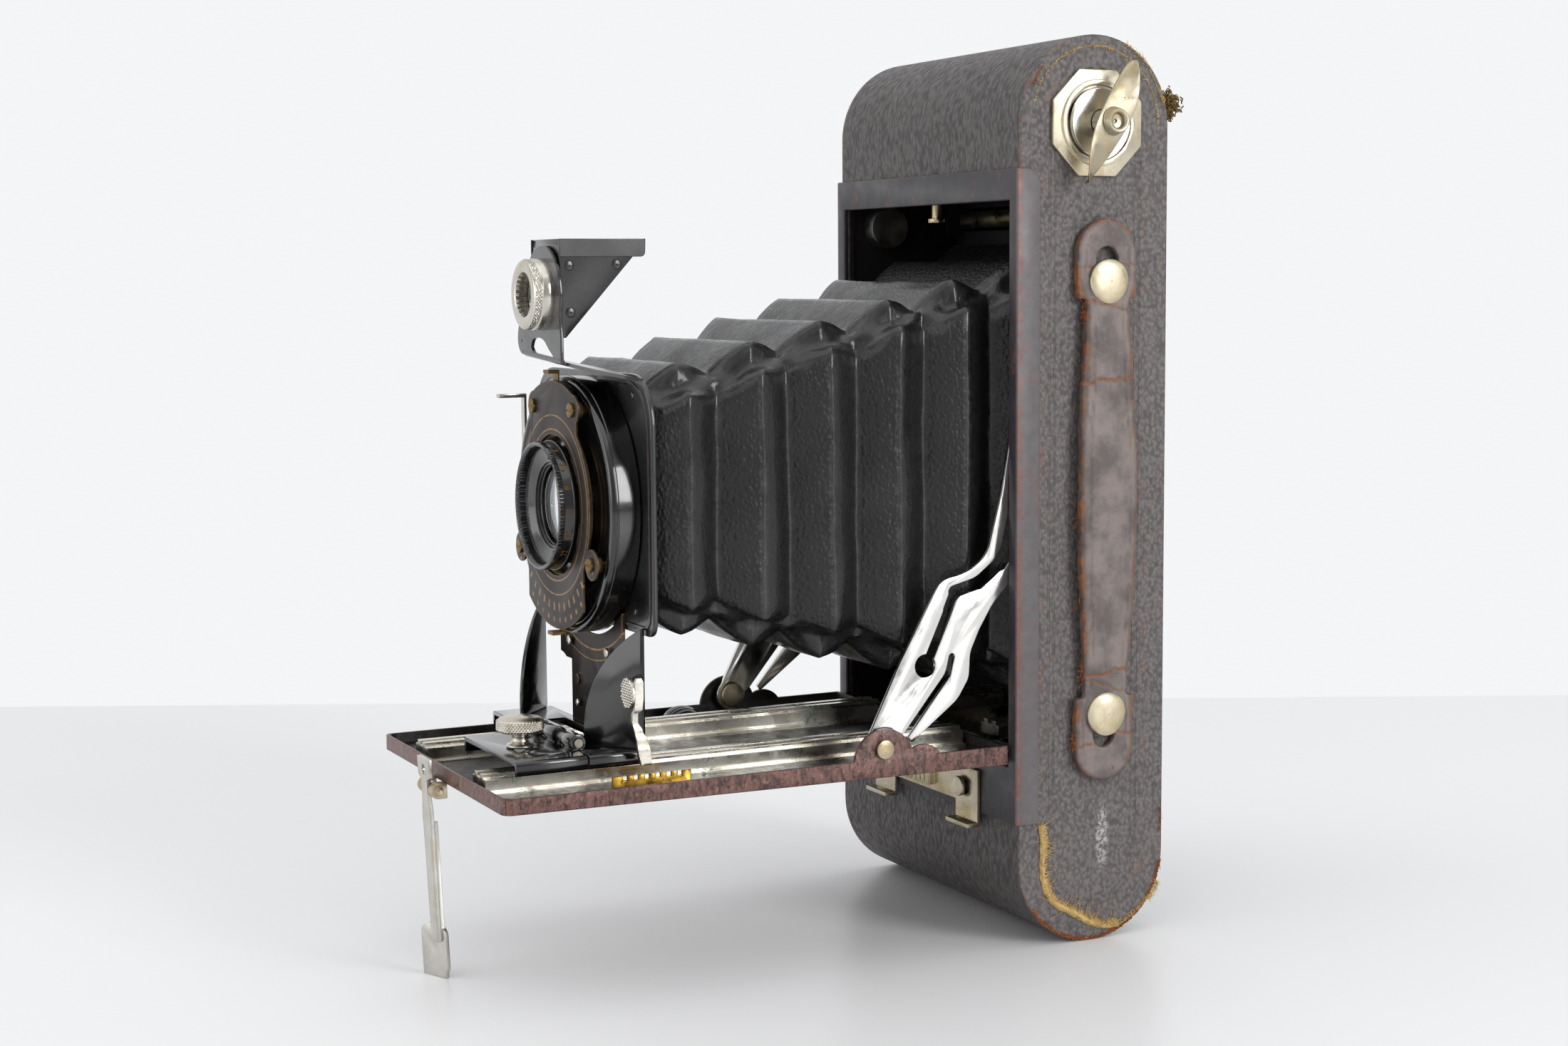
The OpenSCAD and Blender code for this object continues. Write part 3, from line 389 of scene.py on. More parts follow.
def glass(name):
    """Clear glass with a faint smudge in its roughness."""
    s = Shade(name, base=(0.93, 0.96, 1.0, 1), rough=0.02, Transmission_Weight=1.0, IOR=1.5, Coat_Weight=0.3)
    return s.done(roughness=s.span(s.noise(300, 4.0), 0.55, 0.8, 0.01, 0.06))


def mirror(name):
    s = Shade(name, base=(0.86, 0.88, 0.9, 1), rough=0.05, metal=1.0)
    return s.done(roughness=s.span(s.noise(200, 5.0), 0.5, 0.75, 0.03, 0.2))


def wood(name):
    """Varnished turned wood, grain along X."""
    s = Shade(name, rough=0.4)
    grain = s.noise(700, 5.0, 0.6, 0.6, s.stretch(0.06, 1.0, 1.0))
    return s.done(s.mix(grain, lin(94, 62, 34), lin(168, 122, 74)), normal=s.bump(grain, 0.00005))


def celluloid(name):
    s = Shade(name, rough=0.2, Coat_Weight=0.5)
    return s.done(s.mix(s.noise(250, 3.0), lin(120, 16, 12), lin(160, 34, 22)))


def bellows_leather(name):
    """Glossy black leather: pebbled on the panels, smoother on the folds, which carry a painted highlight."""
    s = Shade(name, rough=0.35, Specular_IOR_Level=0.35, Coat_Weight=0.4, Coat_Roughness=0.14)
    panel = s.attribute("panel")
    fold = s.attribute("fold")
    v = s.warp(0.0005, 700, s.stretch(1.0, 1.0, 0.72))
    pebble = s.cells(1350, v)
    crease = s.noise(420, 4.0, 0.6, 0.8)
    tone = s.mix(s.noise(80, 4.0, 0.6), lin(15, 15, 16), lin(26, 26, 27))
    # painted highlight: the folds and creased corners are lightened towards grey
    tone = s.mix(s.mul(fold, s.span(s.noise(260, 4.0), 0.4, 0.7, 0.05, 0.32)), tone, lin(84, 82, 82))
    height = s.sub(s.mul(crease, 0.5), s.mul(pebble, panel))
    return s.done(tone, s.add(s.mul(panel, 0.16), s.span(crease, 0.3, 0.7, 0.22, 0.4)),
                  s.bump(height, 0.0004, 1.0))


def strap_leather(name):
    """Worn brown-grey strap: rubbed face with a painted highlight on its raised grain, orange cracked edges,
    embossed border lines.
    """
    s = Shade(name, rough=0.5, Specular_IOR_Level=0.5)
    rim = s.attribute("rim")
    crack = s.attribute("crack")
    fine = s.noise(1500, 5.0, 0.7, 0.5, s.stretch(1.0, 1.0, 0.6))
    broad = s.noise(110, 4.0, 0.6)
    base = s.mix(s.span(broad, 0.35, 0.65), lin(92, 84, 81), lin(132, 121, 117))
    # painted highlight: lighter where the fine grain stands highest
    base = s.mix(s.span(fine, 0.56, 0.78, 0.0, 0.6), base, lin(158, 144, 135))
    base = s.mix(s.span(s.noise(220, 5.0, 0.7), 0.56, 0.72, 0.0, 0.35), base, lin(124, 90, 66))
    rust = s.mix(s.noise(900, 4.0), lin(104, 60, 34), lin(160, 100, 56))
    edge = s.mul(rim, s.span(s.noise(170, 5.0, 0.75), 0.47, 0.6, 0.12, 0.9))
    base = s.mix(s.mul(rim, 0.6), base, lin(34, 28, 26))
    base = s.mix(edge, base, rust)
    base = s.mix(s.mul(crack, s.span(s.noise(420, 3.0), 0.3, 0.5, 0.35, 0.95)), base, rust)
    line = s.attribute("line")
    height = s.sub(fine, s.add(s.mul(line, 1.2), s.mul(crack, 0.8)))
    return s.done(base, s.span(fine, 0.3, 0.7, 0.38, 0.6), s.bump(height, 0.00022, 0.8))


def fibre(name, a, b):
    """Frayed canvas thread."""
    s = Shade(name, rough=0.85, Specular_IOR_Level=0.2)
    return s.done(s.mix(s.noise(900, 3.0), lin(*a), lin(*b)), normal=s.bump(s.noise(5000, 2.0), 0.00005))


def paper(name, tone, spread):
    """The table's paper: plain, pale, faintly uneven."""
    s = Shade(name, rough=0.32, Specular_IOR_Level=0.35)
    return s.done(s.mix(s.noise(3.0, 2.0), lin(tone, tone, tone + 1),
                        lin(tone + spread, tone + spread, tone + spread + 1)))


M = {
    "leather": leatherette("leatherette"),
    "streaky": leatherette("leatherette_streaky", streaky=True),
    "lacquer": lacquer("lacquer"),
    "lacquer_worn": lacquer("lacquer_worn", 0.24, 0.9),
    "frame": frame_lacquer("frame_lacquer"),
    "inner": inner_black("inner_black"),
    "patina": patina("bed_patina"),
    "nickel": nickel("nickel", (206, 202, 192), 0.22, 0.35),
    "nickel_satin": nickel("nickel_satin", (222, 213, 190), 0.34, 0.55),
    "nickel_key": nickel("nickel_key", (186, 178, 158), 0.4, 0.6),
    "nickel_leg": nickel("nickel_leg", (206, 204, 198), 0.3, 0.3),
    "nickel_cream": nickel("nickel_cream", (216, 206, 180), 0.42, 0.5),
    "nickel_bright": nickel("nickel_bright", (236, 235, 232), 0.17, 0.08),
    "nickel_dull": nickel("nickel_dull", (190, 180, 158), 0.3, 0.7),
    "rail": nickel("rail_nickel", (214, 210, 200), 0.24, 0.22, verdigris=0.7, brushed=1.0),
    "steel": nickel("steel", (150, 148, 146), 0.35, 0.3),
    "etched": etched_plate("etched_plate", LENS_CENTRE, [(0.0172, 0.00025), (0.0204, 0.0002)], 46),
    "info": etched_plate("info_plate", LENS_CENTRE, [(0.0335, 0.0003), (0.036, 0.0002)], 0),
    "brass": brass("brass"),
    "dark_brass": nickel("dark_brass", (128, 104, 66), 0.4, 0.6),
    "glass": glass("glass"),
    "mirror": mirror("mirror"),
    "wood": wood("wood"),
    "celluloid": celluloid("celluloid"),
    "bellows": bellows_leather("bellows_leather"),
    "strap": strap_leather("strap_leather"),
    "thread": fibre("canvas_thread", (216, 190, 132), (178, 140, 82)),
    "moss": fibre("green_thread", (112, 112, 66), (120, 72, 44)),
    "rust_thread": fibre("worn_thread", (168, 100, 54), (118, 66, 36)),
    "gold": nickel("gold_paint", (190, 132, 62), 0.4, 0.2),
    "verdigris": fibre("verdigris", (118, 152, 132), (86, 120, 104)),
}

LOOKS = {
    "leather": ["side_leather", "bed_leather"],
    "streaky": ["front_leather", "back_leather"],
    "lacquer": ["base_plate", "standard_wings", "shutter_drum", "lens_ring", "ribbed_button"],
    "lacquer_worn": ["finder_bracket", "finder_box", "standard_plate", "autographic_door", "back_cover"],
    "frame": ["front_frame"],
    "inner": ["film_gate", "pressure_plate", "body_shell"],
    "patina": ["bed_tray"],
    "nickel": ["spool_pin_top", "spool_pin_bottom", "finder_bezel", "focus_lever", "release_lever", "stylus"],
    "nickel_satin": ["key_plate"],
    "nickel_key": ["winding_key"],
    "nickel_leg": ["stand_leg"],
    "nickel_cream": ["strap_studs"],
    "nickel_bright": ["struts", "key_disc"],
    "nickel_dull": ["roller_top", "roller_bottom", "bed_catch", "latch_plate", "latch_studs", "strut_pins",
                    "stand_bracket", "clamp_knob"],
    "rail": ["bed_rails"],
    "steel": ["tripod_bush", "bed_hinge_pin", "base_hinge_pin", "shutter_blades"],
    "etched": ["faceplate"],
    "info": ["info_plate"],
    "brass": ["focus_scale"],
    "dark_brass": ["speed_lever", "aperture_pointer", "shutter_screws"],
    "glass": ["finder_lens", "finder_window", "front_lens", "rear_lens"],
    "mirror": ["finder_mirror"],
    "wood": ["feed_spool", "takeup_spool"],
    "celluloid": ["red_window"],
    "bellows": ["bellows"],
    "strap": ["carry_strap"],
}


def paint(obj, material):
    obj.data.materials.clear()
    obj.data.materials.append(material)


for look, names in LOOKS.items():
    for n in names:
        paint(NODES[n], M[look])


def shade_by_angle(obj, degrees):
    """Smooth shading that keeps edges sharper than this."""
    mesh = obj.data
    mesh.shade_smooth()
    b = bmesh.new()
    b.from_mesh(mesh)
    for e in b.edges:
        e.smooth = e.calc_face_angle(0) < math.radians(degrees)
    b.to_mesh(mesh)
    b.free()


# ---- stage, light and camera
EYE = m(505.6, -290.6, 156.2)
AIM = m(-118.4, 20.0, 84.8)
ROLL = math.radians(-0.42)
LENS_MM = 54.8
SENSOR_MM = 36.0
TABLE_EDGE, TABLE_BEHIND, TABLE_HALF = 0.876, 1.6, 2.5
DIM, BACKDROP, OVERHEAD = 0.4, 0.93, 0.8


def make_camera():
    data = bpy.data.cameras.new("camera")
    data.lens = LENS_MM
    data.sensor_width = SENSOR_MM
    data.clip_start = 0.01
    cam = bpy.data.objects.new("camera", data)
    bpy.context.scene.collection.objects.link(cam)
    look = (AIM - EYE).to_track_quat("-Z", "Y").to_matrix().to_4x4()
    cam.matrix_world = Matrix.Translation(EYE) @ look @ Matrix.Rotation(ROLL, 4, "Z")
    bpy.context.scene.camera = cam


def make_stage():
    ahead = (AIM - EYE).to_2d().normalized()
    side = Vector((-ahead.y, ahead.x))
    eye = EYE.to_2d()
    far = eye + ahead * TABLE_EDGE
    near = eye - ahead * TABLE_BEHIND
    wide = side * TABLE_HALF
    corners = [far - wide, far + wide, near + wide, near - wide]
    mesh = bpy.data.meshes.new("table")
    mesh.from_pydata([(c.x, c.y, 0) for c in corners], [], [(0, 3, 2, 1)])
    table = bpy.data.objects.new("table", mesh)
    bpy.context.scene.collection.objects.link(table)
    paint(table, paper("table_paper", 226, 5))


def area_light(name, place, target, size, power):
    data = bpy.data.lights.new(name, "AREA")
    data.shape = "RECTANGLE"
    data.size, data.size_y = size
    data.energy = power
    lamp = bpy.data.objects.new(name, data)
    bpy.context.scene.collection.objects.link(lamp)
    lamp.location = place
    lamp.rotation_euler = (Vector(target) - Vector(place)).to_track_quat("-Z", "Y").to_euler()


def make_world():
    """Bright paper behind the camera's subject and overhead, a dim room on the other side."""
    world = bpy.data.worlds.new("studio")
    bpy.context.scene.world = world
    world.use_nodes = True
    tree = world.node_tree
    way = tree.nodes.new("ShaderNodeTexCoord").outputs["Generated"]

    def span(value, low, high, to_low, to_high):
        n = tree.nodes.new("ShaderNodeMapRange")
        n.interpolation_type = "SMOOTHSTEP"
        tree.links.new(value, n.inputs[0])
        for i, v in enumerate((low, high, to_low, to_high)):
            n.inputs[i + 1].default_value = v
        return n.outputs[0]
    ahead = (AIM - EYE).to_2d().normalized()
    dot = tree.nodes.new("ShaderNodeVectorMath")
    dot.operation = "DOT_PRODUCT"
    tree.links.new(way, dot.inputs[0])
    dot.inputs[1].default_value = (ahead.x, ahead.y, 0)
    split = tree.nodes.new("ShaderNodeSeparateXYZ")
    tree.links.new(way, split.inputs[0])
    both = tree.nodes.new("ShaderNodeMath")
    both.operation = "MAXIMUM"
    tree.links.new(span(dot.outputs["Value"], -0.25, 0.7, DIM, BACKDROP), both.inputs[0])
    tree.links.new(span(split.outputs[2], 0.35, 0.92, DIM, OVERHEAD), both.inputs[1])
    back = tree.nodes["Background"]
    back.inputs[0].default_value = (0.975, 0.985, 1.0, 1)
    tree.links.new(both.outputs[0], back.inputs[1])


def make_light():
    area_light("key_light", (-0.35, -1.0, 1.35), (0, -0.02, 0.1), (1.2, 1.0), 3.5)
    area_light("top_light", (0.25, 0.1, 1.6), (0, 0, 0), (1.6, 1.4), 4)
    area_light("side_window", (1.24, 0.574, 0.58), (0, 0, 0.1), (0.5, 0.74), 10)
    area_light("front_card", (0.95, -1.05, 0.75), (0, 0, 0.1), (0.6, 0.6), 1.6)
    area_light("low_fill", (-0.15, -1.3, 0.3), (0, -0.05, 0.02), (1.4, 0.5), 4)


make_camera()
make_stage()
make_world()
make_light()
bpy.context.scene.view_settings.view_transform = "Standard"

# ---- building helpers
DICE = random.Random(7)


def add_mesh(name, shape, look, body, node, replaces=False, angle=35, attributes=None):
    """A new piece from (verts, faces), riding a body; it may stand in for the node."""
    mesh = bpy.data.meshes.new(name)
    mesh.from_pydata([tuple(v) for v in shape[0]], [], shape[1])
    mesh.validate()
    for key, values in (attributes or {}).items():
        mesh.attributes.new(key, "FLOAT", "POINT").data.foreach_set("value", values)
    obj = bpy.data.objects.new(name, mesh)
    bpy.context.scene.collection.objects.link(obj)
    paint(obj, M[look])
    shade_by_angle(obj, angle)
    finish_piece(obj, body, node, replaces)
    return obj


def finish_piece(obj, body, node, replaces):
    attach(obj, body)
    if replaces:
        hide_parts(node)


def lathe(profile, centre, axis, segments=96, ripple=None):
    """Closed ring of (along, radius) millimetres turned about an axis through centre."""
    verts, faces = [], []
    count = len(profile)
    basis = [Vector((1, 0, 0)), Vector((0, 1, 0)), Vector((0, 0, 1))]
    w = basis.pop("XYZ".index(axis))
    u, v = basis
    for s in range(segments):
        a = 2 * math.pi * s / segments
        for i, (along, radius) in enumerate(profile):
            r = radius + (ripple(i, along, a) if ripple else 0)
            verts.append(centre + (u * math.cos(a) * r + v * math.sin(a) * r + w * along) * MM)
    for s in range(segments):
        t = (s + 1) % segments
        for i in range(count):
            j = (i + 1) % count
            faces.append((s * count + i, s * count + j, t * count + j, t * count + i))
    return verts, faces


def tube(path, radii, sides=3):
    """Thin thread along a path of points."""
    verts, faces = [], []
    for k, p in enumerate(path):
        ahead = (path[min(k + 1, len(path) - 1)] - path[max(k - 1, 0)]).normalized()
        side = ahead.cross(Vector((0.3, 0.5, 0.8))).normalized()
        up = ahead.cross(side)
        for s in range(sides):
            a = 2 * math.pi * s / sides
            verts.append(p + (side * math.cos(a) + up * math.sin(a)) * radii[k])
    for k in range(len(path) - 1):
        for s in range(sides):
            t = (s + 1) % sides
            faces.append((k * sides + s, k * sides + t, (k + 1) * sides + t, (k + 1) * sides + s))
    faces.append(tuple(range(sides - 1, -1, -1)))
    faces.append(tuple((len(path) - 1) * sides + s for s in range(sides)))
    return verts, faces


def joined(parts):
    """Several (verts, faces) as one."""
    verts, faces = [], []
    for v, f in parts:
        base = len(verts)
        verts += v
        faces += [tuple(i + base for i in face) for face in f]
    return verts, faces


def slab(rows):
    """Closed skin over a grid: each row is a list of (outer, inner) point pairs."""
    verts, faces = [], []
    n = len(rows[0])
    for row in rows:
        verts += [p[0] for p in row] + [p[1] for p in row]

    def at(r, c, layer):
        return r * 2 * n + layer * n + c
    last = len(rows) - 1
    for r in range(last):
        for c in range(n - 1):
            faces.append((at(r, c, 0), at(r, c + 1, 0), at(r + 1, c + 1, 0), at(r + 1, c, 0)))
            faces.append((at(r, c, 1), at(r + 1, c, 1), at(r + 1, c + 1, 1), at(r, c + 1, 1)))
        for c in (0, n - 1):
            side = (at(r, c, 0), at(r + 1, c, 0), at(r + 1, c, 1), at(r, c, 1))
            faces.append(side if c == 0 else side[::-1])
    for c in range(n - 1):
        for r in (0, last):
            end = (at(r, c, 0), at(r, c, 1), at(r, c + 1, 1), at(r, c + 1, 0))
            faces.append(end if r == 0 else end[::-1])
    return verts, faces


def baked(obj):
    """A new mesh of the object with its modifiers applied."""
    return bpy.data.meshes.new_from_object(obj.evaluated_get(bpy.context.evaluated_depsgraph_get()))


def from_curve(curve):
    """The curve's filled, raised mesh as (verts, faces); the curve is removed."""
    obj = bpy.data.objects.new("curve", curve)
    bpy.context.scene.collection.objects.link(obj)
    mesh = baked(obj)
    found = [v.co.copy() for v in mesh.vertices], [tuple(p.vertices) for p in mesh.polygons]
    bpy.data.objects.remove(obj)
    bpy.data.curves.remove(curve)
    bpy.data.meshes.remove(mesh)
    return found


def sheet(outlines, thick, plane, at, soft=0.1):
    """Plate with soft edges cut from closed outlines in millimetres, the first one outside.

    plane XZ takes (x, z) points and lies at Y = at; plane YZ takes (y, z) points and lies at X = at.
    """
    curve = bpy.data.curves.new("sheet", "CURVE")
    curve.dimensions = "2D"
    curve.fill_mode = "BOTH"
    curve.extrude = thick / 2 - soft
    curve.bevel_depth = soft
    curve.bevel_resolution = 1
    for points in outlines:
        spline = curve.splines.new("POLY")
        spline.points.add(len(points) - 1)
        for p, (a, b) in zip(spline.points, points):
            p.co = (a, b, 0, 1)
        spline.use_cyclic_u = True
    verts, faces = from_curve(curve)
    if plane == "XZ":
        return [m(v.x, at - v.z, v.y) for v in verts], faces
    return [m(at + v.z, v.x, v.y) for v in verts], faces


def arc(a, b, radius, start, end, steps=10):
    """Points on an arc, in degrees."""
    return [(a + radius * math.cos(math.radians(start + (end - start) * i / steps)),
             b + radius * math.sin(math.radians(start + (end - start) * i / steps)))
            for i in range(steps + 1)]


def plain_copy(node, name):
    """A loose copy of a CAD node's mesh, welded."""
    mesh = NODES[node].data.copy()
    b = bmesh.new()
    b.from_mesh(mesh)
    bmesh.ops.remove_doubles(b, verts=b.verts, dist=1e-6)
    b.to_mesh(mesh)
    b.free()
    obj = bpy.data.objects.new(name, mesh)
    bpy.context.scene.collection.objects.link(obj)
    obj.matrix_world = NODES[node].matrix_world.copy()
    return obj


def thinner_lip(at):
    """The tray's rim is shallower towards the front: its lower side comes up."""
    low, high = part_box("bed_tray")
    ahead = (high.y - at.y) / (high.y - low.y)
    weight = max(0.0, 1 - (at.z - low.z) / (5 * MM))
    return at + Vector((0, 0, (0.5 + 1.1 * ahead) * weight * MM))


def soften(node, body, width, corners=None, shape=None):
    """Stand-in for a CAD node with its edges rounded off.

    corners is (millimetres, choose): choose(middle, way, turn, edge) says which edges get the larger round
    first; shape moves each point before that.
    """
    obj = plain_copy(node, node + "_soft")
    b = bmesh.new()
    b.from_mesh(obj.data)
    bmesh.ops.dissolve_limit(b, angle_limit=math.radians(1.5), verts=b.verts, edges=b.edges)
    for v in b.verts if shape else ():
        v.co = shape(v.co)
    if corners:
        reach, choose = corners
        picked = [e for e in b.edges if choose((e.verts[0].co + e.verts[1].co) / 2,
                                               (e.verts[0].co - e.verts[1].co).normalized(),
                                               math.degrees(e.calc_face_angle(0)), e)]
        bmesh.ops.bevel(b, geom=picked, offset=reach * MM, segments=5, profile=0.5, affect="EDGES",
                        clamp_overlap=True)
    b.to_mesh(obj.data)
    b.free()
    bevel = obj.modifiers.new("bevel", "BEVEL")
    bevel.width = width * MM
    bevel.segments = 2
    bevel.limit_method = "ANGLE"
    bevel.angle_limit = math.radians(38)
    mesh = baked(obj)
    obj.modifiers.clear()
    obj.data = mesh
    paint(obj, NODES[node].data.materials[0])
    shade_by_angle(obj, 40)
    finish_piece(obj, body, node, True)


def roomy(edge):
    """Its neighbours are long enough to take a large round."""
    return min(o.calc_length() for v in edge.verts for o in v.link_edges if o is not edge) > 2.2 * MM


def rough(place, scale, octaves=3):
    """Smooth noise from -1 to 1 at a place, scale in cycles per millimetre."""
    return noise.fractal(place * (scale / MM), 1.0, 2.0, octaves)


# ---- bellows
PLEATS = 7
PLEAT_DEPTH = 4.6
# at the front, and what it gains by the back: half width, lower edge, upper edge
HALF_WIDTH, LOWER, UPPER = (33.4, 4.0), (79.5, -27.5), (136.0, 31.0)
# along one pleat from a valley: place, depth (1 valley, 0 ridge), crease sharpness
STATIONS = [(0.0, 1.0, 0.7), (0.03, 0.97, 0.5), (0.09, 0.85, 0.0), (0.18, 0.66, 0.0), (0.28, 0.46, 0.0),
            (0.38, 0.27, 0.0), (0.46, 0.12, 0.1), (0.5, 0.03, 0.8), (0.525, 0.0, 1.0), (0.55, 0.03, 0.8),
            (0.6, 0.14, 0.1), (0.7, 0.36, 0.0), (0.8, 0.58, 0.0), (0.9, 0.8, 0.0), (0.97, 0.96, 0.4)]


def bellows_ring(t, depth):
    """Outline round the lens axis at t (0 front, 1 back), with its corner weights."""
    wide = HALF_WIDTH[0] + HALF_WIDTH[1] * t - PLEAT_DEPTH * depth
    low = LOWER[0] + LOWER[1] * t + PLEAT_DEPTH * depth
    high = UPPER[0] + UPPER[1] * t - PLEAT_DEPTH * depth
    cut = 7.5 - 2.5 * depth
    pinch = 1.9 - 2.9 * depth
    corners = [((wide, high - cut), (wide - cut, high)), ((-wide + cut, high), (-wide, high - cut)),
               ((-wide, low + cut), (-wide + cut, low)), ((wide - cut, low), (wide, low + cut))]
    out = []
    for k, (a, b) in enumerate(corners):
        a, b = Vector(a), Vector(b)
        inward = Vector((-(a.x + b.x), (low + high) - (a.y + b.y))).normalized()
        for i in range(9):
            u = i / 8
            crease = math.sin(math.pi * u) - 0.55 * math.sin(3 * math.pi * u)
            out.append((a.lerp(b, u) + inward * pinch * crease, math.sin(math.pi * u) ** 0.5))
        nxt = Vector(corners[(k + 1) % 4][0])
        for i in range(1, 18):
            u = i / 18
            out.append((b.lerp(nxt, u), 0.0))
    return out


def make_bellows():
    """Pleated leather tube, puffed, creased and pinched at its corners."""
    low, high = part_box("bellows")
    length = (high.y - low.y) / MM
    rows, panel, fold = [], [], []
    for p in range(PLEATS):
        for f, depth, crease in STATIONS:
            rows.append(((p + f) / PLEATS, depth, crease, f))
    rows.append((1.0, 1.0, 0.7, 1.0))
    outer, inner = [], []
    for t, depth, crease, f in rows:
        ring = bellows_ring(t, depth)
        ends = min(t, 1 - t) * PLEATS
        calm = min(1.0, ends * 3)
        middle = sum((q for q, _ in ring), Vector((0, 0))) / len(ring)
        for q, corner in ring:
            place = m(q.x, 0, q.y) + Vector((0, low.y + length * t * MM - ORIGIN.y, 0))
            outward = Vector((q.x - middle.x, 0, q.y - middle.y)).normalized()
            puff = 0.5 * math.sin(math.pi * min(1, depth * 1.15)) * (1 - corner)
            wave = 0.45 * rough(place, 0.045) + 0.16 * rough(place, 0.16)
            crumple = corner * (1.1 * rough(place + Vector((0.3, 0, 0)), 0.13) + 0.5 * rough(place, 0.34))
            shift = (puff + wave * (1 - crease * 0.5) + crumple - 0.5) * calm
            along = (0.5 * rough(place + Vector((0, 0.7, 0)), 0.05) + corner * 0.9 * rough(place, 0.2)) * calm
            point = place + (outward * shift + Vector((0, along, 0))) * MM
            outer.append(point)
            inner.append(point - outward * 0.5 * MM)
            flat = max(0.0, 1 - corner * 2.5) * (1 - crease)
            panel.append(flat * (1.0 if 0.06 < f < 0.48 else 0.25))
            # fold: creases and corners, lightened in the shader as a painted highlight
            fold.append(max(crease, corner * 0.55))
    n = len(bellows_ring(0, 0))
    total = len(rows)
    base, end = total * n, (total - 1) * n
    faces = []
    for r in range(total - 1):
        for c in range(n):
            d = (c + 1) % n
            faces.append((r * n + c, r * n + d, (r + 1) * n + d, (r + 1) * n + c))
            faces.append((base + r * n + c, base + (r + 1) * n + c, base + (r + 1) * n + d, base + r * n + d))
    for c in range(n):
        d = (c + 1) % n
        faces.append((c, base + c, base + d, d))
        faces.append((end + c, end + d, base + end + d, base + end + c))
    obj = add_mesh("bellows_folds", (outer + inner, faces), "bellows", "root", "bellows", True, 70,
                   {"panel": panel * 2, "fold": fold * 2})
    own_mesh(obj)


# ---- strap
def make_strap():
    """The carrying strap, arched off the side, worn and cracked."""
    obj = plain_copy("carry_strap", "strap_worn")
    remesh = obj.modifiers.new("remesh", "REMESH")
    remesh.mode = "VOXEL"
    remesh.voxel_size = 0.42 * MM
    smooth = obj.modifiers.new("smooth", "SMOOTH")
    smooth.factor = 0.5
    smooth.iterations = 3
    mesh = baked(obj)
    bpy.data.objects.remove(obj)
    low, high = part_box("carry_strap")
    back, low_z, high_z, centre_y = low.x, low.z, high.z, mid("carry_strap").y
    stud_low, stud_high = (corner.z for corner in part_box("strap_studs"))
    # height, slope and strength of each crack
    cracks = [(0.1325, 0.10, 1.0), (0.1493, -0.2, 0.7), (0.1585, 0.05, 0.5), (0.0640, 0.16, 0.9),
              (0.0480, 0.2, 0.8), (0.0610, -0.3, 0.5)]
    rim, crack, line, verts = [], [], [], []
    for v in mesh.vertices:
        y, z = v.co.y - centre_y, v.co.z
        height = (v.co.x - back) / (2.0 * MM)
        half = strap_half((z - low_z) / (high_z - low_z))
        inside = half - abs(y) / MM
        end = min(z - low_z, high_z - z) / MM
        if end < 8:
            inside = 8 - math.hypot(y / MM, 8 - end)
        between = (z - stud_low - 0.004) / (stud_high - stud_low - 0.008)
        arch = math.sin(math.pi * min(1, max(0, between))) ** 0.6
        lift = 1.5 * arch + 0.25 * rough(v.co, 0.05)
        dome = 0.9 * arch * (1 - (y / MM / max(half, 1)) ** 2)
        crack_here = 0.0
        for at, slope, strength in cracks:
            path = at + slope * y + 0.0009 * rough(Vector((y, at, 0)), 0.35)
            crack_here = max(crack_here, strength * max(0, 1 - abs(z - path) / (0.5 * MM)))
        groove = max(0.0, 1 - abs(inside - 2.1) / 0.35) if end > 6 else 0.0
        wrinkle = 0.14 * rough(Vector((v.co.x, y, z * 0.5)), 0.6)
        v.co.x += (lift + dome * height + (wrinkle - 0.45 * crack_here - 0.2 * groove) * height) * MM
        ragged = 0.25 * rough(v.co, 0.7) if inside < 0.8 else 0
        v.co.y += (0.35 * rough(Vector((0, 0, z)), 0.06) + ragged) * MM
        rim.append(max(0.0, min(1.0, 1.25 - inside / 0.9)))
        crack.append(min(1.0, crack_here * 1.3))
        line.append(groove)
        verts.append(v.co.copy())
    faces = [tuple(p.vertices) for p in mesh.polygons]
    add_mesh("strap_worn", (verts, faces), "strap", "root", "carry_strap", True, 80,
             {"rim": rim, "crack": crack, "line": line})
    frayed = []
    for at_z, side, count in [(0.1478, -1, 44), (0.0480, -1, 26), (0.0640, -1, 18), (0.1325, -1, 10),
                              (0.0405, 0.2, 16), (0.1660, -0.5, 14), (0.1000, -1, 8), (0.0800, -1, 10)]:
        half = strap_half((at_z - low_z) / (high_z - low_z))
        for _ in range(count):
            z = at_z + DICE.gauss(0, 1.3) * MM
            y = centre_y + side * half * MM + DICE.gauss(0, 0.2) * MM
            root = Vector((back + DICE.uniform(0.6, 2.2) * MM, y, z))
            lean = Vector((DICE.uniform(-0.2, 0.9), DICE.gauss(0, 0.6) + side * 0.8,
                           DICE.gauss(0, 0.9))).normalized()
            reach = DICE.uniform(0.5, 1.7) * MM
            curl = Vector((0, 0, DICE.gauss(0, 0.4) * MM))
            frayed.append(tube([root, root + lean * reach * 0.5, root + lean * reach + curl],
                               [0.09 * MM, 0.08 * MM, 0.04 * MM]))
    add_mesh("strap_fray", joined(frayed), "rust_thread", "root", "carry_strap")


def strap_half(u):
    """Half width of the strap in millimetres at u along it."""
    points = [(0, 8), (0.10, 8), (0.20, 6.1), (0.35, 7.2), (0.55, 7.8), (0.75, 6.2), (0.84, 5.7), (0.90, 8),
              (1, 8)]
    for (a, wa), (b, wb) in zip(points, points[1:]):
        if a <= u <= b:
            s = (u - a) / (b - a)
            return wa + (wb - wa) * s * s * (3 - 2 * s)
    return 8.0


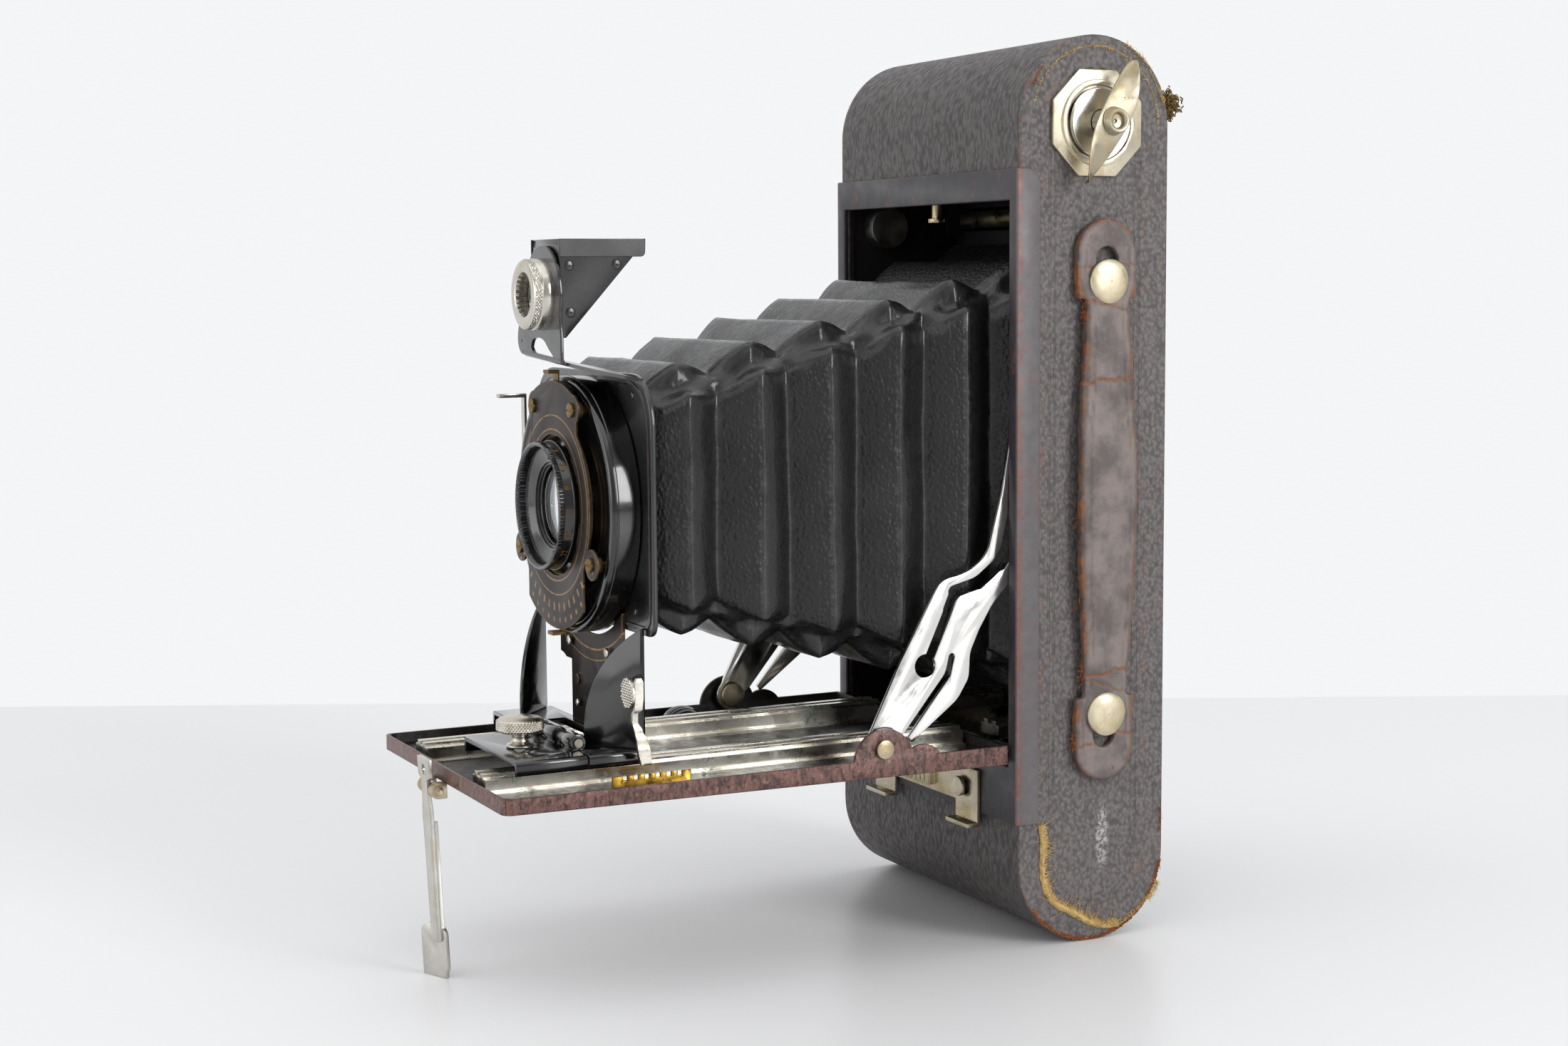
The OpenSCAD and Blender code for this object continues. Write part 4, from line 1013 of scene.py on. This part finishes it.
# ---- torn leather and canvas threads
def smooth_path(points, steps):
    """Evenly stepped Catmull-Rom path through (y, z) points."""
    out = []
    pts = [points[0]] + points + [points[-1]]
    for k in range(1, len(pts) - 2):
        p0, p1, p2, p3 = (Vector(p) for p in pts[k - 1:k + 3])
        for i in range(steps):
            t = i / steps
            out.append(0.5 * (2 * p1 + (p2 - p0) * t + (2 * p0 - 5 * p1 + 4 * p2 - p3) * t * t
                              + (3 * p1 - p0 - 3 * p2 + p3) * t ** 3))
    out.append(Vector(points[-1]))
    return out


def fringe(path, count, reach, lean, thick, lift, spread):
    """Threads rooted along a (y, z) path on the near side, leaning one way."""
    side_x = span_mm("side_leather", "X")[1]
    parts = []
    for _ in range(count):
        u = DICE.uniform(0, len(path) - 1.001)
        k = int(u)
        root = path[k].lerp(path[k + 1], u - k)
        ahead = (path[k + 1] - path[k]).normalized()
        out = Vector((ahead.y, -ahead.x)) * lean
        turn = DICE.gauss(0, spread)
        way = (out * math.cos(turn) + ahead * math.sin(turn)).normalized()
        size = reach * DICE.uniform(0.35, 1.25)
        start = root - way * DICE.uniform(0, 0.4)
        pts = []
        for i in range(4):
            s = i / 3
            q = start + way * size * s + ahead * 0.3 * math.sin(3 * s + root.x) * DICE.uniform(0.4, 1.4)
            pts.append(m(side_x + 0.02 + lift * math.sin(math.pi * min(1, s + 0.15)) * DICE.uniform(0.3, 1.2),
                         q.x, q.y))
        parts.append(tube(pts, [thick * MM, thick * MM, thick * 0.8 * MM, thick * 0.4 * MM]))
    return parts


def canvas_band(path):
    """The cloth's own torn edge: a lumpy ribbon under the threads."""
    side_x = span_mm("side_leather", "X")[1]
    rows = []
    for k, p in enumerate(path):
        ahead = (path[min(k + 1, len(path) - 1)] - path[max(k - 1, 0)]).normalized()
        out = Vector((-ahead.y, ahead.x))
        wide = 1.5 * math.sin(math.pi * (k + 0.6) / (len(path) + 0.2)) ** 0.4
        row = []
        for j in range(7):
            q = p + out * (wide * (j / 6 - 0.25) + 0.25 * rough(m(j, p.x, p.y), 0.5))
            top = side_x + 0.15 + 0.5 * math.sin(math.pi * j / 6) + 0.15 * rough(m(0, q.x, q.y), 0.9)
            row.append((m(top, q.x, q.y), m(side_x - 0.3, q.x, q.y)))
        rows.append(row)
    return slab(rows)


def make_threads():
    """Torn cloth at the near lower corner, loose seam threads, worn edges and the scrap at the back."""
    torn = smooth_path([(5.4, 28.8), (6.1, 24), (6.0, 18), (7.2, 13), (9.6, 9.6), (14, 7.2), (19, 4.2),
                        (23.5, 2.5), (27.5, 2.6)], 6)
    parts = fringe(torn, 900, 1.9, -1, 0.1, 0.6, 0.45) + fringe(torn, 110, 4.2, -1, 0.06, 0.3, 0.8)
    parts.append(canvas_band(torn))
    parts += fringe(smooth_path([(27.0, 2.2), (31, 4.2), (35.5, 7.6), (38.4, 12.4)], 6), 120, 1.0, -1, 0.07,
                    0.4, 0.7)
    parts += fringe(smooth_path([(36.2, 7.8), (38.6, 11.8)], 6), 70, 1.8, 1, 0.07, 0.5, 0.6)
    add_mesh("torn_canvas", joined(parts), "thread", "root", "side_leather")
    crown = [(y, 191 + (z - 191) * 17.4 / 17.2) for y, z in arc(20, 191, 17.2, 165, -3, 14)]
    seam = fringe(smooth_path(crown, 4), 230, 0.7, 1, 0.07, 0.25, 1.1)
    seam += fringe(smooth_path([(28, 209.2), (34, 204.6), (38.6, 196)], 6), 90, 1.3, -1, 0.07, 0.4, 0.9)
    add_mesh("seam_threads", joined(seam), "thread", "root", "side_leather")
    worn = fringe(smooth_path(arc(20, 20, 19.8, 215, 351, 17), 3), 420, 1.1, -1, 0.1, 0.3, 0.9)
    worn += fringe(smooth_path([(3.4, 199.5), (5.6, 203.4)], 4), 26, 0.9, -1, 0.08, 0.2, 0.8)
    worn += fringe(smooth_path([(39.4, 24), (39.6, 30)], 4), 26, 0.9, 1, 0.08, 0.2, 0.8)
    add_mesh("worn_edge", joined(worn), "rust_thread", "root", "side_leather")
    clump = []
    for _ in range(520):
        core = m(DICE.gauss(40.6, 0.8), 40.6 + abs(DICE.gauss(0, 1.6)), DICE.gauss(195.8, 1.3))
        way = Vector((DICE.gauss(0, 0.6), DICE.gauss(0.3, 0.6), DICE.gauss(0, 0.8))).normalized()
        bend = core + way * 0.4 * MM + Vector((0, 0, DICE.gauss(0, 0.3) * MM))
        clump.append(tube([core - way * 0.5 * MM, bend, core + way * 0.55 * MM],
                          [0.2 * MM, 0.18 * MM, 0.1 * MM]))
    add_mesh("edge_scrap", joined(clump), "moss", "back", "back_leather")


# ---- turned metal
def diamond(count, pitch, depth):
    """Crossed knurling for lathe()."""
    def ripple(_, along, a):
        w = along * pitch
        return depth * (abs(math.sin(count * a / 2 + w)) * abs(math.sin(count * a / 2 - w)) - 0.5)
    return ripple


def banded(ripple, low, high):
    """The ripple only between low and high along the axis."""
    return lambda i, along, a: ripple(i, along, a) if low < along < high else 0.0


def face_of(node, end):
    """Middle of a node's front (0) or back (1) face."""
    at = mid(node)
    at.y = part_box(node)[end].y
    return at


def make_turned():
    """Clamp knob, finder bezel, lens ring with its numbers, and shutter drum."""
    foot = m(15, -111.8, span_mm("clamp_knob", "Z")[1] - 7.0)
    knob = [(0, 0.3), (0, 3.0), (0.35, 3.2), (0.8, 2.9), (1.0, 2.15), (1.5, 1.75), (2.3, 1.75), (2.9, 2.1),
            (3.2, 3.6), (3.5, 4.6), (3.75, 5.0)]
    knob += [(3.9 + 0.16 * i, 5.15) for i in range(14)]
    knob += [(6.15, 5.0), (6.45, 4.6), (6.75, 3.6), (6.95, 2.2), (7.0, 0.3)]
    add_mesh("clamp_knob_knurled", lathe(knob, foot, "Z", 180, banded(diamond(44, 3.4, 0.42), 3.85, 6.05)),
             "nickel", "clamp", "clamp_knob", True, 50)

    front, back = span_mm("finder_bezel", "Y")
    deep = back - front
    bezel = [(-0.1, 4.9), (-deep + 1.2, 4.9), (-deep + 0.2, 5.0), (-deep, 5.25), (-deep, 7.2),
             (-deep + 0.15, 7.55), (-deep + 0.4, 7.75)]
    bezel += [(-deep + 0.5 + 0.14 * i, 7.75) for i in range(9)]
    bezel += [(-deep + 1.7, 7.75), (-deep + 1.8, 7.55), (-deep + 2.0, 7.9), (-deep + 2.3, 8.05), (-0.9, 8.05),
              (-0.5, 7.8), (-0.1, 7.6)]
    add_mesh("finder_bezel_knurled", lathe(bezel, face_of("finder_bezel", 1), "Y", 216,
                                           banded(diamond(64, 5.0, 0.5), -deep + 0.45, -deep + 1.68)),
             "nickel", "finder", "finder_bezel", True, 50)

    centre = face_of("lens_ring", 0)
    ring = [(4.6, 8.9), (4.4, 9.2), (3.9, 9.2), (3.85, 9.7), (3.4, 9.8), (3.35, 10.3)]
    ring += [(3.2 - 0.1 * i, 10.5 + 0.28 * i + (0.09 if i % 2 else 0)) for i in range(10)]
    ring += [(1.9, 13.2), (0.9, 13.35), (0.35, 13.5), (0.1, 13.8), (0, 14.1), (0.1, 14.35), (0.2, 14.45),
             (1.2, 14.45), (1.3, 14.2), (1.5, 14.3), (3.3, 14.6), (3.4, 14.75), (3.9, 14.75), (4.0, 14.45),
             (4.6, 14.45)]

    def serration(_, along, a):
        return 0.22 * (math.sin(110 * a) > 0) - 0.11 if 0.15 < along < 1.25 else 0.0
    add_mesh("lens_ring_fine", lathe(ring, centre, "Y", 440, serration), "lacquer", "standard", "lens_ring",
             True, 40)
    parts = []
    for k, text in enumerate(["4", "5.6", "8", "11", "16", "22", "32"]):
        a = math.radians(62 - 21 * k)
        parts.append(numeral(text, centre, a, 14.48, 2.4, 1.5))
    add_mesh("ring_numbers", joined(parts), "gold", "standard", "lens_ring", angle=30)

    radius = 29.2
    drum = [(0, 13.2), (0, radius - 0.3), (-0.3, radius), (-5.2, radius), (-5.35, radius - 0.18),
            (-5.6, radius - 0.18), (-5.75, radius), (-6.4, radius - 0.02), (-6.8, radius - 0.25),
            (-7.0, radius - 0.7), (-7.0, radius - 1.5), (-6.85, radius - 1.8), (-6.5, radius - 2.0),
            (-6.4, 26.0), (-6.4, 15.6), (-6.4, 13.2)]
    add_mesh("drum_turned", lathe(drum, face_of("shutter_drum", 1), "Y", 160), "lacquer", "standard",
             "shutter_drum", True, 35)


def numeral(text, centre, angle, radius, along, size):
    """Raised figures standing on a ring about the lens axis, read from in front."""
    curve = bpy.data.curves.new("numeral", "FONT")
    curve.body = text
    curve.size = size * 1.35
    curve.extrude = 0.05
    curve.align_x = "CENTER"
    curve.align_y = "CENTER"
    verts, faces = from_curve(curve)
    up = Vector((0, -1, 0))
    out = Vector((math.cos(angle), 0, math.sin(angle)))
    right = up.cross(out)
    seat = out * radius + Vector((0, along, 0))
    return [centre + (seat + out * v.z + right * v.x + up * v.y) * MM for v in verts], faces


# ---- key
def make_key():
    """Pointed, twisted wing on a hollow rivet."""
    hub = m(43.0, 20, 191)
    reach, steps, across = 15.2, 44, 10
    tilt = math.radians(24)
    along = Vector((0, math.sin(tilt), math.cos(tilt)))
    side = Vector((0, math.cos(tilt), -math.sin(tilt)))
    rows = []
    for i in range(steps + 1):
        s = -1 + 2 * i / steps
        bend = 3.7 * (1 - abs(s) ** 2.0) ** 0.85 + 0.15
        skew = 1.9 * s * (1 - abs(s))
        row = []
        for j in range(across + 1):
            w = -1 + 2 * j / across
            offset = w * bend + skew
            curl = 1.7 * s * w * (1 - abs(s) * 0.25) + 0.5 * (1 - s * s) - 0.9 * abs(s) ** 3
            thick = 0.95 * (1 - 0.35 * abs(s))
            front = Vector((7.2 + curl, 0, 0)) + along * s * reach + side * offset
            round_off = 0.3 * thick * abs(w) ** 6
            depths = round_off, thick - round_off
            row.append([hub + (front - Vector((d, 0, 0))) * MM for d in depths])
        rows.append(row)
    blade = slab(rows)
    stem = lathe([(1.8, 0.4), (1.8, 2.9), (5.0, 2.7), (6.6, 2.9), (6.8, 3.2), (7.6, 3.2), (8.0, 3.0),
                  (8.3, 2.9), (9.4, 2.8), (9.7, 2.5), (9.7, 2.1), (9.4, 1.75), (8.3, 1.6), (8.1, 0.4)], hub,
                 "X", 64)
    add_mesh("key_wing", joined([blade, stem]), "nickel_key", "key", "winding_key", True, 45)


# ---- focus lever
def make_lever():
    """S-bent plate carrying a round finger pad cut in diamonds."""
    near, thick = span_mm("focus_lever", "X")[1], 0.9

    def strip(z, front, back, x):
        ys = [front + (back - front) * j / 6 for j in range(7)]
        return [(m(near + x, y, z), m(near + x - thick, y, z)) for y in ys]
    base_z, top_z = span_mm("focus_lever", "Z")
    stations = [(base_z, -90.6, -89.2, 0.0), (51.2, -91.4, -88.9, 0.0), (54.0, -92.0, -89.0, -0.1),
                (56.4, -92.2, -89.6, -0.4), (58.6, -92.6, -90.6, -0.7), (60.6, -93.0, -91.6, -1.0),
                (62.4, -93.0, -91.7, -0.8), (63.6, -92.7, -90.8, -0.3), (66.5, -92.6, -90.6, -0.1),
                (top_z - 1.0, -92.6, -90.6, -0.1), (top_z, -92.2, -91.0, -0.2)]
    rows = []
    for (z0, a0, b0, s0), (z1, a1, b1, s1) in zip(stations, stations[1:]):
        for i in range(4):
            t = i / 4
            u = t * t * (3 - 2 * t)
            z, a, b, x = z0 + (z1 - z0) * t, a0 + (a1 - a0) * u, b0 + (b1 - b0) * u, s0 + (s1 - s0) * u
            rows.append(strip(z, a, b, x))
    rows.append(strip(*stations[-1]))
    add_mesh("lever_plate", slab(rows), "nickel", "focus", "focus_lever", True, 45)
    rows = []
    radius, middle = 3.4, top_z - 3.6
    for i in range(37):
        up = (-1 + i / 18) * radius
        half = math.sqrt(max(0.15, radius ** 2 - up ** 2))
        row = []
        for j in range(37):
            across = (-1 + j / 18) * half
            cut = abs(math.sin((across + up) * 2.7)) * abs(math.sin((across - up) * 2.7))
            tooth = 0.42 * cut if 1 < j < 35 and 0 < i < 36 else 0
            x = near - radius - 0.1 + across
            row.append((m(x, -93.1 - tooth, middle + up), m(x, -92.4, middle + up)))
        rows.append(row)
    add_mesh("lever_tab", slab(rows), "nickel", "focus", "focus_lever", angle=25)


# ---- finder, standard plate and strap studs
def make_finder():
    """Flared bracket bent back to the standard, and the folded skirt round the finder's top."""
    low, high = span_mm("finder_bracket", "Y")
    hub_z = (mid("finder_bezel").z - ORIGIN.z) / MM
    face = low + 0.4
    outer = [(10.9, hub_z - 15.2), (10.9, hub_z - 9)] + arc(0, hub_z, 10.8, -24, 204, 44)
    outer += [(-15.2, hub_z - 7), (-15.9, hub_z - 9)] + arc(-12.6, hub_z - 10.2, 3.4, 180, 262, 8)
    slot = [(p.x, p.y + hub_z) for p in smooth_path([(-7.6, -11.9), (-6.4, -10.2), (-3, -9.6), (0.6, -10.2),
                                                     (3.4, -12), (6.4, -14), (0.4, -13.7), (-5.6, -13.2),
                                                     (-7.6, -11.9)], 5)][:-1]
    eye = arc(0, hub_z, 5.0, 0, 350, 35)
    pin = arc(-13.4, hub_z - 10.6, 0.35, 0, 330, 11)
    plate = sheet([outer, slot, eye, pin], 0.8, "XZ", face)

    def strip(a, b, skin):
        """Pairs of points from a to b, the sheet's half thickness either side."""
        return [(m(*(a.lerp(b, j / 8) + skin)), m(*(a.lerp(b, j / 8) - skin))) for j in range(9)]
    rows = []
    for i in range(6):
        a = math.radians(16 * i)
        skin = Vector((0, -math.cos(a), -math.sin(a))) * 0.4
        back, drop = 1.2 * (1 - math.cos(a)), 1.2 * math.sin(a)
        left = Vector((-13.0, face + back, hub_z - 12.7 - drop))
        right = Vector((10.9, face + back, hub_z - 14.2 - drop))
        rows.append(strip(left, right, skin))
    skin = Vector((0, -0.17, -0.98)) * 0.4
    far_left, far_right = Vector((6, high - 0.4, hub_z - 17.0)), Vector((29, high - 0.4, hub_z - 18.6))
    for i in range(1, 13):
        u = i / 12
        a, b = left.lerp(far_left, u), right.lerp(far_right, u)
        b += Vector((1.6, -1.2, 0)) * math.sin(math.pi * u)
        rows.append(strip(a, b, skin))
    add_mesh("finder_bracket_bent", joined([plate, slab(rows)]), "lacquer_worn", "standard", "finder_bracket",
             True, 35)

    front, back = span_mm("finder_box", "Y")
    top = span_mm("finder_box", "Z")[1]
    skirt = [(front - 0.1, top - 0.1), (front - 0.1, top - 3.9)] + arc(back - 1.2, top - 2.9, 1.0, -90, 0, 6)
    skirt += arc(back - 0.7, top - 0.7, 0.6, 0, 90, 4)
    parts = [sheet([skirt], 0.5, "YZ", side * 8.75) for side in (1, -1)]
    add_mesh("finder_skirt", joined(parts), "lacquer_worn", "finder", "finder_box", angle=35)


def make_standard_plate():
    """Round-cornered front board with a raised rim and four rivets."""
    half = span_mm("standard_plate", "X")[1]
    front, back = span_mm("standard_plate", "Y")
    low, high = span_mm("standard_plate", "Z")
    lens_z = (LENS_CENTRE.z - ORIGIN.z) / MM
    outer = arc(half - 11, high - 11, 11, 0, 90, 12) + arc(11 - half, high - 11, 11, 90, 180, 12)
    outer += arc(3 - half, low + 3, 3, 180, 270, 6) + arc(half - 3, low + 3, 3, 270, 360, 6)
    hole = arc(0, lens_z, 12.5, 0, 354, 59)
    rim = [(x * 0.965, (z - lens_z) * 0.955 + lens_z) for x, z in outer]
    inner_rim = [(x * 0.985, (z - lens_z) * 0.98 + lens_z) for x, z in rim]
    parts = [sheet([outer, hole], back - front, "XZ", (front + back) / 2, 0.3),
             sheet([rim, inner_rim], 0.3, "XZ", front - 0.1, 0.08)]
    parts += [dome(m(x, front, z), "Y", 0.8, -0.35) for x in (-25, 25) for z in (low + 4.5, high - 4.5)]
    add_mesh("standard_plate_round", joined(parts), "lacquer_worn", "standard", "standard_plate", True, 35)


def make_studs():
    """Broad flat heads on their shafts."""
    inner, outer = span_mm("strap_studs", "X")
    low, high = span_mm("strap_studs", "Z")
    y = (mid("strap_studs").y - ORIGIN.y) / MM
    head = outer - 2.2
    profile = [(inner - head, 0.1), (inner - head, 1.8), (0, 1.8), (0, 4.8), (0.12, 5.05), (0.4, 5.15),
               (0.75, 5.05), (1.05, 4.6), (1.3, 3.7), (1.45, 2.6), (1.52, 1.4), (1.54, 0.1)]
    dents = banded(lambda i, along, a: 0.05 * math.sin(3 * a + i), 0.3, 1.5)
    parts = [lathe(profile, m(head, y, z), "X", 72, dents) for z in (low + 5.15, high - 5.15)]
    add_mesh("studs_flat", joined(parts), "nickel_cream", "root", "strap_studs", True, 40)


# ---- small details
def dome(centre, axis, radius, height):
    """A low rivet head standing on centre, facing along an axis; a negative height faces the other way."""
    rim, root = 0.15, -0.2 * math.copysign(1, height)
    profile = [(root, 0.05), (root, radius), (0, radius)]
    for i in range(1, 7):
        a = math.pi / 2 * i / 6
        profile.append((height * (rim + (1 - rim) * math.sin(a)),
                        max(0.05, radius * (rim + (1 - rim) * math.cos(a)))))
    return lathe(profile, centre, axis, 28)


def make_details():
    """Rivets on the finder and the dark plate, and the strut pin's washer."""
    parts = []
    for y, z in [(-95.8, 159.4), (-84.4, 159.6), (-95.6, 149.0)]:
        for side in (1, -1):
            parts.append(dome(m(side * 8.3, y, z), "X", 1.15, 0.3 * side))
    add_mesh("finder_rivets", joined(parts), "lacquer_worn", "finder", "finder_box")
    parts = [dome(m(x, span_mm("info_plate", "Y")[0], z), "Y", r, -0.45) for x, z,
             r in [(-11.5, 72.5, 1.2), (11.5, 72.5, 1.2), (-6.5, 58.5, 0.9)]]
    add_mesh("info_rivets", joined(parts), "nickel", "standard", "info_plate")
    ring = [(0.0, 1.0), (0.0, 1.9), (0.25, 1.8), (0.45, 1.5), (0.35, 1.1), (0.1, 0.95)]
    add_mesh("pin_washer", lathe(ring, m(span_mm("bed_tray", "X")[1], -35, 50.7), "X", 48), "verdigris",
             "root", "bed_tray")


EDGE_ROUND = {"front_frame": 0.5, "faceplate": 0.12, "info_plate": 0.1, "struts": 0.18, "shutter_screws": 0.1,
              "bed_tray": 0.3, "focus_scale": 0.07}
CORNERS = {
    "struts": (2.4, lambda at, way, turn, e: abs(way.x) > 0.99 and 8 < turn < 80 and roomy(e)),
    "base_plate": (0.95, lambda at, way, turn, e: abs(way.y) > 0.99
                   and abs(at.x - ORIGIN.x) > (span_mm("base_plate", "X")[1] - 0.1) * MM),
    "bed_tray": (2.2, lambda at, way, turn,
                 e: abs(way.z) > 0.99 and at.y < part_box("bed_tray")[0].y + 1.2 * MM),
}
for node in ["bed_leather", "bed_tray", "front_frame", "key_plate", "latch_plate", "latch_studs", "bed_catch",
             "struts", "strut_pins", "stand_bracket", "stand_leg", "base_plate", "finder_box", "faceplate",
             "info_plate", "shutter_screws", "focus_scale", "release_lever", "standard_wings"]:
    owner = next(k for k, v in BEHAVIOUR["bodies"].items() if node in v)
    soften(node, owner, EDGE_ROUND.get(node, 0.22), corners=CORNERS.get(node),
           shape=thinner_lip if node in ("bed_tray", "bed_leather") else None)

make_bellows()
make_strap()
make_threads()
make_turned()
make_key()
make_lever()
make_finder()
make_standard_plate()
make_studs()
make_details()
